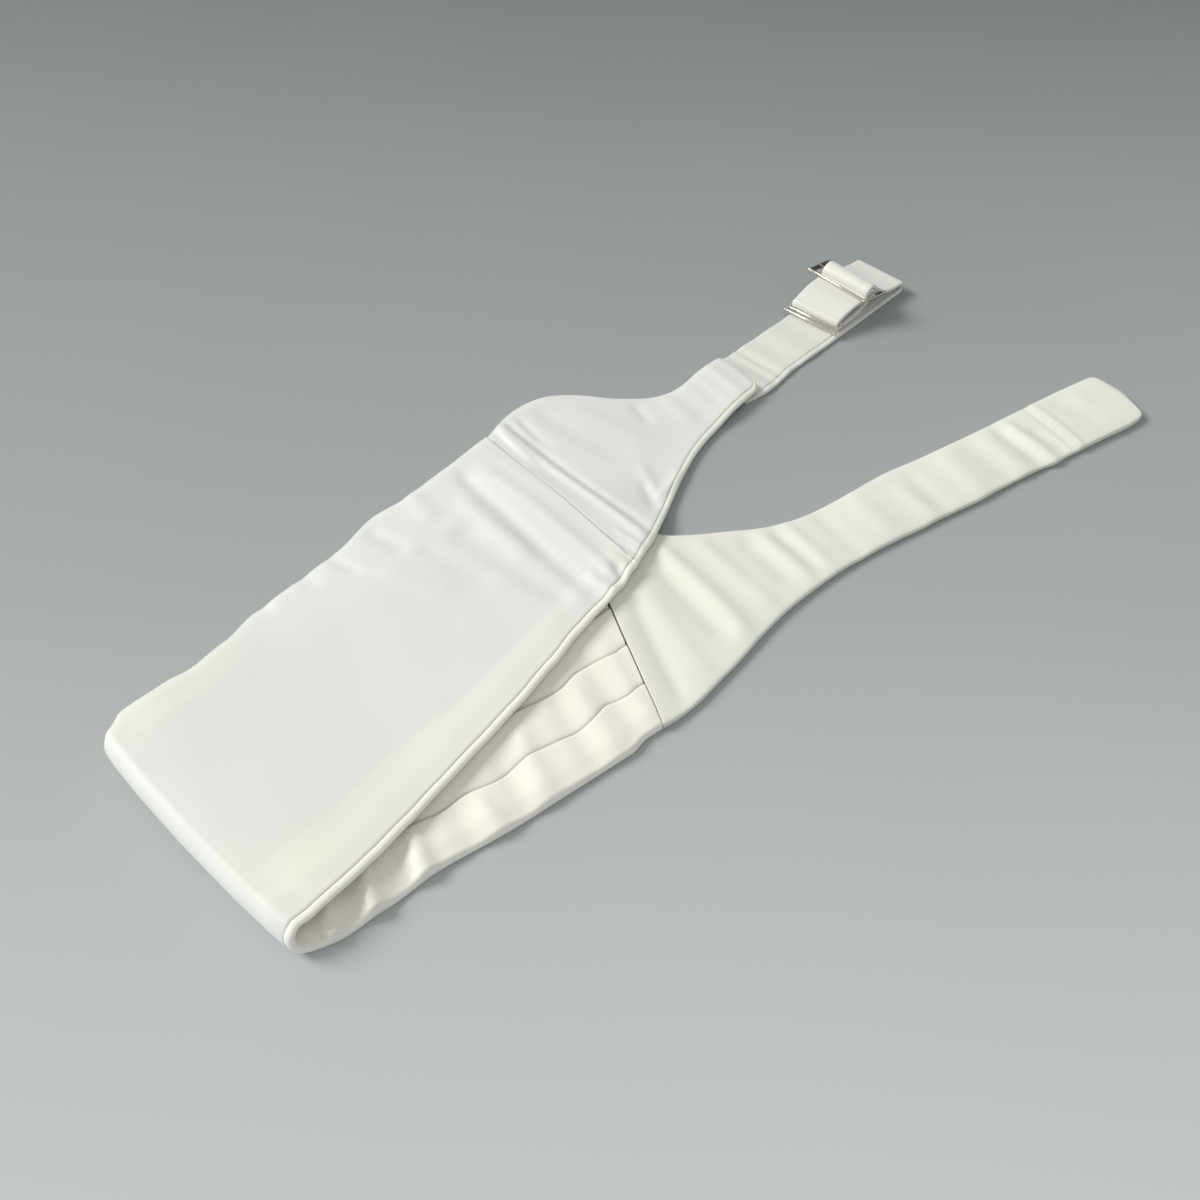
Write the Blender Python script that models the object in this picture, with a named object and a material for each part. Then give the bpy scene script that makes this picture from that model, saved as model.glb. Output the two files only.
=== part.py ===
"""A satin cummerbund folded once and laid on a table.

The garment is modelled in its own frame, in millimetres, and scaled to metres at the end. The fold lies
along Y near X = 0, both halves run towards +X, and Z = 0 is the table. The lower half turns towards -Y and
the upper half towards +Y, because the fold isn't quite square to the cloth. At the end the whole garment is
moved so that the middle of its base is the origin.

Every cloth piece is a wall between an outer and an inner grid of points. The grids follow one reference
surface, the outer side of the back panel: it lies on the table under the lower half, goes round the fold and
is the top of the upper half. Everything else is measured inwards from it.
"""

import math
from typing import NamedTuple

import bmesh
import bpy
from mathutils import Matrix, Vector

MM = 0.001

# Cloth walls and the gap between pieces
GAP = 0.3
BACK_WALL = 1.2
FRONT_WALL = 1.3
RIM_WALL = 3.4
BODY_THICKNESS = 4.4
BAND_THICKNESS = 3.2

# The body: a strip folded over a line that is skewed to it
SKEW = math.radians(8.06)
BODY_NEAR = -61.0
BODY_FAR = 65.0
FOLD_RADIUS = 6.8
LOOP_LENGTH = 75.0
BULGE_REACH = 80.0
UPPER_SEAM_NEAR = 218.0
UPPER_SEAM_FAR = 229.4
LOWER_SEAM_NEAR = 164.0
LOWER_SEAM_FAR = 221.5
CREASE_FLOOR = -0.2

# Pleats of the front, measured across the strip
PLEAT_COUNT = 6
PLEAT_LOW = 3.2
PLEAT_STEP = 0.25
PLEAT_MIDDLE = 0.55

# How the upper half is carried: on the lower half, then down to the table
STACK_HEIGHT = 4.8
SIDE_DROP = 85.0
SIDE_DROP_LEAD = 6.0
DROP_START = 222.0
DROP_LENGTH = 78.0
SHOULDER_SLOPE = 2.1
SHOULDER_END = -52.0
TABLE_CLEARANCE = 0.1
STRAP_UNDERLAP = 2.4
UNDERLAP_LEAD = 2.7
UNDERLAP_RISE = 1.4

# Stations along the folded strip and how far a crease takes to fade out at its ends
LOWER_STATIONS = 13
FOLD_STATIONS = 8
UPPER_STATIONS = 20
CREASE_FADE = 14.0
BAND_CROWN = 0.8

# The adjuster strap
STRAP_WIDTH = 32.8
STRAP_THICKNESS = 2.0
STRAP_START = (355.0, 42.8)
STRAP_HEADING = math.radians(1.8)
TURN_ALONG = 132.3
TURN_RADIUS = 2.7
TURN_DRIFT = -1.2
STRAP_BULGE = ((-9.0, 0.0), (6.0, 2.4), (14.0, 2.0), (30.0, 0.0))
STRAP_UNDER_BAND = -9.0
STRAP_EASE = 0.45
TABLE_STATIONS = 12
BAR_RADIUS = 1.0
WRAP_TURN = 292.0

# The slide adjuster and the clasp
ADJUSTER_PLATE = 1.2
ADJUSTER_ALONG = 102.5
ADJUSTER_HEIGHT = 13.8
ADJUSTER_TILT = math.radians(5.4)
ADJUSTER_SLANT = 0.095
CLASP_PLATE = 1.6
CLASP_ALONG = 76.0
CLASP_HEIGHT = 5.8
CLASP_TILT = math.radians(-15.5)
CLASP_SLANT = -0.03
CLASP_DRIFT = 1.4
CLASP_SQUEEZE = 0.955
TURN_SLANT = 0.04


class BandSection(NamedTuple):
    """A section of an end band: its two edge points, seen from above."""

    near_x: float
    near_y: float
    far_x: float
    far_y: float


class StripEdges(NamedTuple):
    """The folded strip's two edges, across it, at a run from the fold."""

    run: float
    near: float
    far: float


class FoldBulge(NamedTuple):
    """How far the fold bulges outwards at a place across the strip."""

    across: float
    bulge: float


class Crease(NamedTuple):
    """A soft ridge (height above zero) or trough across the cloth, seen from above."""

    start_x: float
    start_y: float
    end_x: float
    end_y: float
    width: float
    height: float


class Span(NamedTuple):
    """A solid part of a metal frame, from one place to another across or along it."""

    start: float
    end: float


class PathPoint(NamedTuple):
    """A point of the strap's middle line: along the strap from the band's end, and above the table."""

    along: float
    height: float


class Finish(NamedTuple):
    """A material's colour, roughness and metallic value."""

    name: str
    colour: tuple
    roughness: float
    metallic: float


FOLD_BULGE = (
    FoldBulge(-66.0, -0.6),
    FoldBulge(-61.0, 1.2),
    FoldBulge(-49.0, 3.0),
    FoldBulge(-29.0, 4.8),
    FoldBulge(5.0, 6.5),
    FoldBulge(33.0, 7.0),
    FoldBulge(50.0, 6.7),
    FoldBulge(59.0, 5.6),
    FoldBulge(66.0, 4.0),
)

BODY_EDGES = (
    StripEdges(-230.0, -60.6, 65.0),
    StripEdges(-160.0, -61.0, 65.0),
    StripEdges(-150.0, -63.4, 65.0),
    StripEdges(-95.0, -63.6, 65.0),
    StripEdges(-62.0, -61.8, 65.0),
    StripEdges(-36.0, -63.6, 65.0),
    StripEdges(-19.0, -64.4, 65.0),
    StripEdges(-6.0, -61.6, 62.0),
    StripEdges(3.0, -60.0, 59.8),
    StripEdges(10.0, -59.6, 62.0),
    StripEdges(17.0, -60.6, 65.2),
    StripEdges(36.0, -61.2, 63.9),
    StripEdges(47.0, -61.0, 62.2),
    StripEdges(63.0, -60.2, 63.8),
    StripEdges(82.0, -59.1, 67.6),
    StripEdges(106.0, -58.3, 67.0),
    StripEdges(130.0, -57.5, 66.3),
    StripEdges(155.0, -55.6, 69.9),
    StripEdges(175.0, -53.4, 66.9),
    StripEdges(193.0, -52.7, 66.5),
    StripEdges(207.0, -52.0, 65.9),
    StripEdges(219.0, -50.0, 66.2),
    StripEdges(238.0, -44.0, 66.2),
)

UPPER_BAND = (
    BandSection(218.3, -18.1, 229.7, 100.0),
    BandSection(226.0, -15.2, 238.0, 102.6),
    BandSection(236.0, -11.8, 248.5, 105.7),
    BandSection(250.0, -4.8, 262.5, 106.0),
    BandSection(263.6, 2.3, 275.3, 101.6),
    BandSection(278.7, 9.6, 287.5, 90.2),
    BandSection(295.3, 16.4, 299.0, 75.2),
    BandSection(311.0, 20.8, 313.5, 62.6),
    BandSection(326.0, 23.2, 328.5, 58.2),
    BandSection(341.0, 25.2, 345.0, 59.4),
    BandSection(357.5, 26.6, 363.0, 59.6),
)

LOWER_BAND = (
    BandSection(164.3, -85.5, 221.8, 32.0),
    BandSection(172.0, -86.8, 230.0, 22.0),
    BandSection(184.0, -87.2, 236.0, 8.0),
    BandSection(198.0, -86.0, 242.0, -8.0),
    BandSection(214.0, -84.6, 253.0, -19.4),
    BandSection(232.0, -82.2, 266.0, -29.0),
    BandSection(252.0, -80.9, 279.0, -38.8),
    BandSection(275.0, -81.8, 294.0, -46.6),
    BandSection(298.0, -84.3, 311.0, -51.2),
    BandSection(320.0, -89.0, 331.0, -54.6),
    BandSection(341.0, -94.2, 351.0, -57.4),
    BandSection(362.0, -98.8, 372.0, -62.9),
    BandSection(387.0, -104.2, 397.0, -68.6),
    BandSection(411.0, -109.6, 420.5, -73.9),
    BandSection(431.0, -114.6, 440.0, -77.8),
    BandSection(455.0, -120.2, 464.0, -82.8),
    BandSection(473.0, -124.6, 482.0, -87.2),
    BandSection(484.5, -125.6, 493.5, -90.4),
    BandSection(489.0, -122.0, 497.0, -94.5),
)
TAIL_BOW = 1.8
HEM_SECTION = 14.3
HEM_THICKNESS = 0.5

BEHIND_ADJUSTER = (PathPoint(124.0, 7.0), PathPoint(113.0, 9.4), PathPoint(108.6, 11.0))
AHEAD_OF_ADJUSTER = (
    PathPoint(95.9, 12.3),
    PathPoint(92.6, 12.0),
    PathPoint(86.5, 11.6),
    PathPoint(80.5, 9.9),
)
BELOW_ADJUSTER = (PathPoint(81.0, 3.7), PathPoint(87.0, 4.7), PathPoint(93.0, 6.5), PathPoint(98.0, 8.9))

ADJUSTER_ENDS = (Span(-19.4, -16.9), Span(18.7, 23.1))
ADJUSTER_BARS = (Span(-9.6, -7.4), Span(-0.8, 0.8), Span(6.6, 9.6))
CLASP_ENDS = (Span(-17.5, -16.0), Span(16.0, 17.5))
CLASP_BARS = (Span(-8.1, -6.5), Span(-5.4, -3.9), Span(-0.8, 0.8))

UPPER_CREASES = (
    Crease(200.8, 86.2, 190.6, -22.1, 6.0, -0.9),
    Crease(211.0, 84.0, 205.0, -17.8, 5.0, 0.9),
    Crease(174.0, 54.5, 180.2, -11.9, 7.0, -0.8),
    Crease(240.7, 101.0, 234.4, -7.6, 4.0, 1.0),
    Crease(246.0, 97.0, 243.7, 70.0, 3.5, 0.9),
)
LOWER_CREASES = (
    Crease(228.4, -17.4, 217.6, -72.3, 6.0, -0.6),
    Crease(268.1, -37.9, 263.6, -74.0, 6.0, -0.5),
    Crease(236.0, -15.0, 226.0, -78.0, 5.0, 0.9),
    Crease(252.0, -24.0, 246.0, -76.0, 6.0, 0.7),
    Crease(281.0, -46.0, 276.0, -76.0, 5.0, 0.6),
    Crease(427.4, -81.0, 420.0, -109.0, 4.0, 0.8),
)

SATIN_BACK = Finish("satin_back", (0.86, 0.86, 0.84, 1.0), 0.42, 0.0)
SATIN_FRONT = Finish("satin_front", (0.86, 0.83, 0.79, 1.0), 0.36, 0.0)
SATIN_BAND = Finish("satin_band", (0.85, 0.85, 0.80, 1.0), 0.40, 0.0)
SATIN_STRAP = Finish("satin_strap", (0.86, 0.85, 0.81, 1.0), 0.38, 0.0)
POLISHED_METAL = Finish("polished_metal", (0.80, 0.78, 0.73, 1.0), 0.12, 1.0)


def smooth(value):
    """Zero below 0, one above 1 and a soft step between."""
    part = min(max(value, 0.0), 1.0)
    return part * part * (3.0 - 2.0 * part)


def mix(start, end, share):
    """The value at a share of the way from start to end."""
    return start + (end - start) * share


def catmull_rom(before, start, end, after, share):
    """A point of the smooth curve through start and end."""
    square, cube = share * share, share**3
    return 0.5 * (
        2.0 * start
        + (end - before) * share
        + (2.0 * before - 5.0 * start + 4.0 * end - after) * square
        + (3.0 * start - before - 3.0 * end + after) * cube
    )


def between(place, table):
    """The value of a table of (place, value) pairs at a place."""
    for (start, low), (end, high) in zip(table, table[1:]):
        if place <= end:
            return mix(low, high, min(max((place - start) / (end - start), 0.0), 1.0))
    return table[-1][1]


def along_rows(rows, position):
    """The row at a fractional position of a table, as a smooth curve through its rows."""
    last = len(rows) - 1
    index = min(max(int(position), 0), last - 1)
    before, start = rows[max(index - 1, 0)], rows[index]
    end, after = rows[index + 1], rows[min(index + 2, last)]
    share = position - index
    values = (catmull_rom(*column, share) for column in zip(before, start, end, after))
    return type(start)(*values)


def crease_rise(x, y, creases):
    """How far the creases lift or sink the cloth at a point."""
    rise = 0.0
    for crease in creases:
        line_x, line_y = crease.end_x - crease.start_x, crease.end_y - crease.start_y
        length = math.hypot(line_x, line_y)
        along = ((x - crease.start_x) * line_x + (y - crease.start_y) * line_y) / length
        aside = ((x - crease.start_x) * line_y - (y - crease.start_y) * line_x) / length
        ends = smooth(along / CREASE_FADE + 0.5) * smooth((length - along) / CREASE_FADE + 0.5)
        rise += crease.height * ends * math.exp(-((aside / crease.width) ** 2))
    return rise


def lower_far_edge(x):
    """The far edge of the lower half, which carries the upper half up to it."""
    fold_loss = 0.5 * math.pi * FOLD_RADIUS - FOLD_RADIUS
    body_edge = BODY_FAR / math.cos(SKEW) - (x + fold_loss) * math.tan(SKEW)
    shoulder = LOWER_BAND[0].far_x
    if x < shoulder:
        return body_edge
    return max(body_edge - SHOULDER_SLOPE * (x - shoulder), SHOULDER_END)


def upper_underside(x, y):
    """The height of the upper half's underside: on the lower half, or let down to the table."""
    aside = 1.0 - smooth((y - lower_far_edge(x) + SIDE_DROP_LEAD) / SIDE_DROP)
    along = 1.0 - smooth((x - DROP_START) / DROP_LENGTH)
    return TABLE_CLEARANCE + STACK_HEIGHT * aside * along


def strip_edges(run):
    """The two edges of the folded strip, across it, at a run from the fold (above zero on the upper half)."""
    for start, end in zip(BODY_EDGES, BODY_EDGES[1:]):
        if run <= end.run or end is BODY_EDGES[-1]:
            share = smooth((run - start.run) / (end.run - start.run))
            return mix(start.near, end.near, share), mix(start.far, end.far, share)


def seam_run(across, upper):
    """The run from the fold to the seam at a place across the strip."""
    share = (across - BODY_NEAR) / (BODY_FAR - BODY_NEAR)
    lost = 0.5 * math.pi * FOLD_RADIUS - FOLD_RADIUS
    if upper:
        return mix(UPPER_SEAM_NEAR, UPPER_SEAM_FAR, share) + lost
    return mix(LOWER_SEAM_NEAR, LOWER_SEAM_FAR, share) + lost


def body_point(run, across, inward):
    """A point of the body, measured inwards from the back panel's outer side."""
    y = run * math.tan(SKEW) + across / math.cos(SKEW)
    quarter = 0.5 * math.pi * FOLD_RADIUS
    bulge = between(across, FOLD_BULGE) * (1.0 - smooth((abs(run) - quarter) / BULGE_REACH))
    if abs(run) <= quarter:
        turn, reach = run / FOLD_RADIUS, FOLD_RADIUS - inward
        x = FOLD_RADIUS - bulge - reach * math.cos(turn)
        return Vector((x, y, FOLD_RADIUS + reach * math.sin(turn)))
    x = FOLD_RADIUS + abs(run) - quarter - bulge
    if run < 0.0:
        return Vector((x, y, inward))
    settled = upper_underside(x, y) + BODY_THICKNESS
    loop = 1.0 - smooth((x - FOLD_RADIUS) / LOOP_LENGTH)
    bump = crease_rise(x, y, UPPER_CREASES)
    if inward > 0.6 * BODY_THICKNESS:
        bump = max(bump, CREASE_FLOOR)
    return Vector((x, y, mix(settled, 2.0 * FOLD_RADIUS, loop) + bump - inward))


def body_runs(across, inset):
    """The stations along the strip from the lower seam, round the fold, to the upper seam."""
    quarter = 0.5 * math.pi * FOLD_RADIUS
    lower_end = -seam_run(across, False) + inset
    upper_end = seam_run(across, True) - inset
    lower = [mix(lower_end, -quarter, index / LOWER_STATIONS) for index in range(LOWER_STATIONS)]
    fold = [mix(-quarter, quarter, index / FOLD_STATIONS) for index in range(FOLD_STATIONS + 1)]
    upper = [mix(quarter, upper_end, (index + 1) / UPPER_STATIONS) for index in range(UPPER_STATIONS)]
    return lower + fold + upper


def body_grid(columns):
    """A grid of body points for columns of (share across, offset from that edge, inward)."""
    rows = []
    station_count = len(body_runs(0.0, 0.0))
    for station in range(station_count):
        row = []
        for share, offset, inward in columns:
            guess = mix(BODY_NEAR, BODY_FAR, share) + offset
            run = body_runs(guess, 0.5 * GAP)[station]
            across = mix(*strip_edges(run), share) + offset
            row.append(body_point(run, across, inward))
        rows.append(row)
    return rows


def pleat_columns():
    """The outer and inner columns of the pleated front: a tray with stepped pleats."""
    high = BODY_THICKNESS
    floor = BACK_WALL + GAP
    outer = [(0.0, 1.6, 0.0), (0.0, 0.0, 1.3), (0.0, 0.0, PLEAT_LOW - 1.0), (0.0, 0.9, PLEAT_LOW)]
    inner = [(0.0, RIM_WALL, depth) for depth in (0.0, 0.5 * BACK_WALL, BACK_WALL, floor)]
    for pleat in range(PLEAT_COUNT):
        start, end = pleat / PLEAT_COUNT, (pleat + 1) / PLEAT_COUNT
        if pleat > 0:
            outer.append((start, PLEAT_STEP, PLEAT_LOW))
            inner.append((start, PLEAT_STEP, floor))
        outer.append((mix(start, end, PLEAT_MIDDLE), 0.0, mix(PLEAT_LOW, high, 0.8)))
        inner.append((mix(start, end, PLEAT_MIDDLE), 0.0, floor))
        if pleat < PLEAT_COUNT - 1:
            outer.append((end, 0.0, high))
            inner.append((end, 0.0, floor))
    outer += [(1.0, -0.9, high - 0.4), (1.0, 0.0, high - 1.6), (1.0, 0.0, 1.3), (1.0, -1.6, 0.0)]
    inner += [(1.0, -RIM_WALL, depth) for depth in (floor, BACK_WALL, 0.5 * BACK_WALL, 0.0)]
    return outer, inner


def panel_columns(shares, inward):
    """The columns of a panel that lies between the two rims."""
    inset = RIM_WALL + GAP
    middle = [(share, 0.0, inward) for share in shares]
    return [(0.0, inset, inward)] + middle + [(1.0, -inset, inward)]


class Band(NamedTuple):
    """An end band: its table of sections, its creases and whether it belongs to the upper half."""

    sections: tuple
    creases: tuple
    upper: bool


UPPER = Band(UPPER_BAND, UPPER_CREASES, True)
LOWER = Band(LOWER_BAND, LOWER_CREASES, False)


def band_point(band, position, share, offset, inward):
    """A point of an end band, measured inwards from its back side."""
    section = along_rows(band.sections, position)
    near = Vector((section.near_x, section.near_y, 0.0))
    far = Vector((section.far_x, section.far_y, 0.0))
    across = (far - near).normalized()
    place = near.lerp(far, share) + across * offset
    bump = crease_rise(place.x, place.y, band.creases)
    crown = BAND_CROWN * 4.0 * share * (1.0 - share)
    if band.upper:
        last = len(band.sections) - 1
        over_strap = smooth((position - last + UNDERLAP_LEAD) / UNDERLAP_RISE)
        under = upper_underside(place.x, place.y) + STRAP_UNDERLAP * over_strap
        place.z = under + BAND_THICKNESS + 0.5 * crown + bump - inward
        if inward > 0.5 * BAND_THICKNESS:
            place.z = under + BAND_THICKNESS + max(bump, CREASE_FLOOR) - inward
        return place
    hem = HEM_THICKNESS * smooth((position - HEM_SECTION) * 6.0)
    bow = TAIL_BOW * 4.0 * share * (1.0 - share) * smooth(position - len(band.sections) + 2.0)
    place += Vector((across.y, -across.x, 0.0)) * bow
    lift = (crown + bump + hem) * smooth((inward - 1.6) / 1.0)
    place.z = inward + lift
    return place


def band_positions(band):
    """The fractional table rows at which an end band has a station."""
    last = len(band.sections) - 1
    steps = 2 * last
    return [last * index / steps for index in range(steps + 1)]


def band_grid(band, columns):
    """A grid of band points for columns of (share across, offset from that edge, inward)."""
    return [
        [band_point(band, position, share, offset, inward) for share, offset, inward in columns]
        for position in band_positions(band)
    ]


def tray_columns(count, thickness):
    """The outer and inner columns of a band's front piece: a tray with turned edges."""
    floor = thickness - FRONT_WALL
    outer = [(0.0, 1.4, 0.0), (0.0, 0.0, 1.1), (0.0, 0.0, thickness - 1.0), (0.0, 0.9, thickness)]
    inner = [(0.0, RIM_WALL, share * floor) for share in (0.0, 0.3, 0.6, 1.0)]
    for index in range(1, count):
        outer.append((index / count, 0.0, thickness))
        inner.append((index / count, 0.0, floor))
    outer += [(1.0, -0.9, thickness), (1.0, 0.0, thickness - 1.0), (1.0, 0.0, 1.1), (1.0, -1.4, 0.0)]
    inner += [(1.0, -RIM_WALL, share * floor) for share in (1.0, 0.6, 0.3, 0.0)]
    return outer, inner


def material_of(finish):
    """The material of a finish, made once."""
    material = bpy.data.materials.get(finish.name)
    if material is None:
        material = bpy.data.materials.new(finish.name)
        material.use_nodes = True
        shader = material.node_tree.nodes["Principled BSDF"]
        shader.inputs["Base Color"].default_value = finish.colour
        shader.inputs["Roughness"].default_value = finish.roughness
        shader.inputs["Metallic"].default_value = finish.metallic
    return material


def add_object(name, mesh_data, finish):
    """A finished object from a bmesh in millimetres, closed and facing out."""
    bmesh.ops.remove_doubles(mesh_data, verts=mesh_data.verts, dist=1e-4)
    bmesh.ops.recalc_face_normals(mesh_data, faces=mesh_data.faces)
    bmesh.ops.scale(mesh_data, vec=(MM, MM, MM), verts=mesh_data.verts)
    mesh = bpy.data.meshes.new(name)
    mesh_data.to_mesh(mesh)
    mesh_data.free()
    mesh.materials.append(material_of(finish))
    mesh.shade_smooth()
    mesh.set_sharp_from_angle(angle=math.radians(40.0))
    made = bpy.data.objects.new(name, mesh)
    bpy.context.collection.objects.link(made)
    return made


def cloth_wall(name, outer, inner, finish):
    """A closed wall between two grids of points that have the same rows and columns."""
    mesh_data = bmesh.new()
    skins = [[[mesh_data.verts.new(point) for point in row] for row in grid] for grid in (outer, inner)]
    rows, columns = len(outer), len(outer[0])
    for skin in skins:
        for row in range(rows - 1):
            for column in range(columns - 1):
                mesh_data.faces.new(
                    (
                        skin[row][column],
                        skin[row + 1][column],
                        skin[row + 1][column + 1],
                        skin[row][column + 1],
                    )
                )
    border = [(row, 0) for row in range(rows)]
    border += [(rows - 1, column) for column in range(1, columns)]
    border += [(row, columns - 1) for row in range(rows - 2, -1, -1)]
    border += [(0, column) for column in range(columns - 2, 0, -1)]
    top, under = skins
    for index, here in enumerate(border):
        after = border[(index + 1) % len(border)]
        corners = (top[here[0]][here[1]], top[after[0]][after[1]])
        mesh_data.faces.new((*corners, under[after[0]][after[1]], under[here[0]][here[1]]))
    return add_object(name, mesh_data, finish)


def make_back_panel():
    """The plain back panel, folded round the outside."""
    lines = [pleat + part for pleat in range(PLEAT_COUNT) for part in (0.0, PLEAT_MIDDLE)]
    shares = [line / PLEAT_COUNT for line in lines[1:]]
    outer = body_grid(panel_columns(shares, 0.0))
    inner = body_grid(panel_columns(shares, BACK_WALL))
    return cloth_wall("back_panel", outer, inner, SATIN_BACK)


def make_pleated_front():
    """The pleated front, folded round the inside, with its edges turned up round the back panel."""
    outer_columns, inner_columns = pleat_columns()
    return cloth_wall("pleated_front", body_grid(outer_columns), body_grid(inner_columns), SATIN_FRONT)


def make_band(band, name, count):
    """An end band: a front piece with turned edges, and a back piece between them."""
    outer_columns, inner_columns = tray_columns(count, BAND_THICKNESS)
    cloth_wall(name + "_front", band_grid(band, outer_columns), band_grid(band, inner_columns), SATIN_BAND)
    shares = [index / count for index in range(1, count)]
    outer = band_grid(band, panel_columns(shares, 0.0))
    inner = band_grid(band, panel_columns(shares, BACK_WALL))
    cloth_wall(name + "_back", outer, inner, SATIN_BAND)


def arc(centre_along, centre_height, radius, start, end, count):
    """Points of an arc of the strap's middle line, from one angle to another, in degrees."""
    points = []
    for index in range(count + 1):
        angle = math.radians(mix(start, end, index / count))
        place = PathPoint(centre_along + radius * math.cos(angle), centre_height + radius * math.sin(angle))
        points.append(place)
    return points


def curve_between(guides, count):
    """A smooth run through guide points, without its first and last guide."""
    steps = range(1, (len(guides) - 1) * count)
    return [along_rows(guides, index / count) for index in steps]


def strap_path():
    """The strap's middle line: out of the band, round the far turn, through the adjuster, round the clasp
    and back to the adjuster's centre bar."""
    half = 0.5 * STRAP_THICKNESS
    wrap = BAR_RADIUS + GAP + half
    saddle = wrap + STRAP_THICKNESS + GAP
    hump, rise = ADJUSTER_ALONG, ADJUSTER_HEIGHT
    table_end = TURN_ALONG - 4.0
    table_run = [PathPoint(STRAP_UNDER_BAND, half)]
    stations = [index / TABLE_STATIONS for index in range(TABLE_STATIONS + 1)]
    table_run += [PathPoint(mix(4.0, table_end, share), half) for share in stations]
    far_turn = arc(TURN_ALONG, half + TURN_RADIUS, TURN_RADIUS, -90.0, 90.0, 8)
    over = arc(hump, rise, saddle, 0.0, 180.0, 12)
    loop = arc(CLASP_ALONG, CLASP_HEIGHT, wrap, 90.0, 270.0, 10)
    around = arc(hump, rise, wrap, 270.0, 270.0 + WRAP_TURN, 14)
    behind = [far_turn[-1], *BEHIND_ADJUSTER, over[0]]
    ahead = [over[-1], *AHEAD_OF_ADJUSTER, loop[0]]
    below = [loop[-1], *BELOW_ADJUSTER, around[0]]
    path = table_run + far_turn + curve_between(behind, 3) + over
    return path + curve_between(ahead, 3) + loop + curve_between(below, 3) + around


def strap_place(along, height, aside):
    """A point in the strap's own directions, placed in the garment's frame."""
    heading = Vector((math.cos(STRAP_HEADING), math.sin(STRAP_HEADING), 0.0))
    left = Vector((-heading.y, heading.x, 0.0))
    return Vector((*STRAP_START, 0.0)) + heading * along + left * aside + Vector((0.0, 0.0, height))


def strap_drift(along, upper):
    """How far the strap has wandered aside from its straight line."""
    if upper:
        return between(along, ((CLASP_ALONG, CLASP_DRIFT), (TURN_ALONG, TURN_DRIFT)))
    return between(along, ((0.0, 0.0), (60.0, TURN_DRIFT)))


def strap_squeeze(along, upper):
    """The strap's width as a share of its full width: it is gathered a little at the clasp."""
    if upper:
        return between(along, ((CLASP_ALONG, CLASP_SQUEEZE), (ADJUSTER_ALONG - 6.0, 1.0)))
    return 1.0


def strap_slant(along, upper):
    """How far the strap's crosswise line leans along it, per millimetre across."""
    if upper:
        stops = ((CLASP_ALONG, CLASP_SLANT), (ADJUSTER_ALONG, ADJUSTER_SLANT), (TURN_ALONG, TURN_SLANT))
        return between(along, stops)
    return between(along, ((100.0, 0.0), (TURN_ALONG, TURN_SLANT)))


def make_strap():
    """The adjuster strap: a flat ribbon with eased edges along its path."""
    half_width, half = 0.5 * STRAP_WIDTH, 0.5 * STRAP_THICKNESS
    eased_width, eased = half_width - STRAP_EASE, half - STRAP_EASE
    quarter = [(half_width, eased), (eased_width, half)]
    upper_side = quarter + [(-width, height) for width, height in reversed(quarter)]
    profile = upper_side + [(-width, -height) for width, height in upper_side]
    path = strap_path()
    mesh_data = bmesh.new()
    rings = []
    upper = False
    for index, point in enumerate(path):
        before, after = path[max(index - 1, 0)], path[min(index + 1, len(path) - 1)]
        step = Vector((after.along - before.along, after.height - before.height)).normalized()
        upper = upper or step.x < 0.0
        drift, slant = strap_drift(point.along, upper), strap_slant(point.along, upper)
        squeeze, bulge = strap_squeeze(point.along, upper), between(point.along, STRAP_BULGE)
        ring = []
        for aside, off in profile:
            aside = aside * squeeze - (0.0 if upper or aside > 0.0 else bulge)
            along = point.along - step.y * off + slant * aside
            ring.append(mesh_data.verts.new(strap_place(along, point.height + step.x * off, aside + drift)))
        rings.append(ring)
    for first, second in zip(rings, rings[1:]):
        for index in range(len(profile)):
            after = (index + 1) % len(profile)
            mesh_data.faces.new((first[index], first[after], second[after], second[index]))
    mesh_data.faces.new(rings[0])
    mesh_data.faces.new(list(reversed(rings[-1])))
    return add_object("adjuster_strap", mesh_data, SATIN_STRAP)


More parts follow.
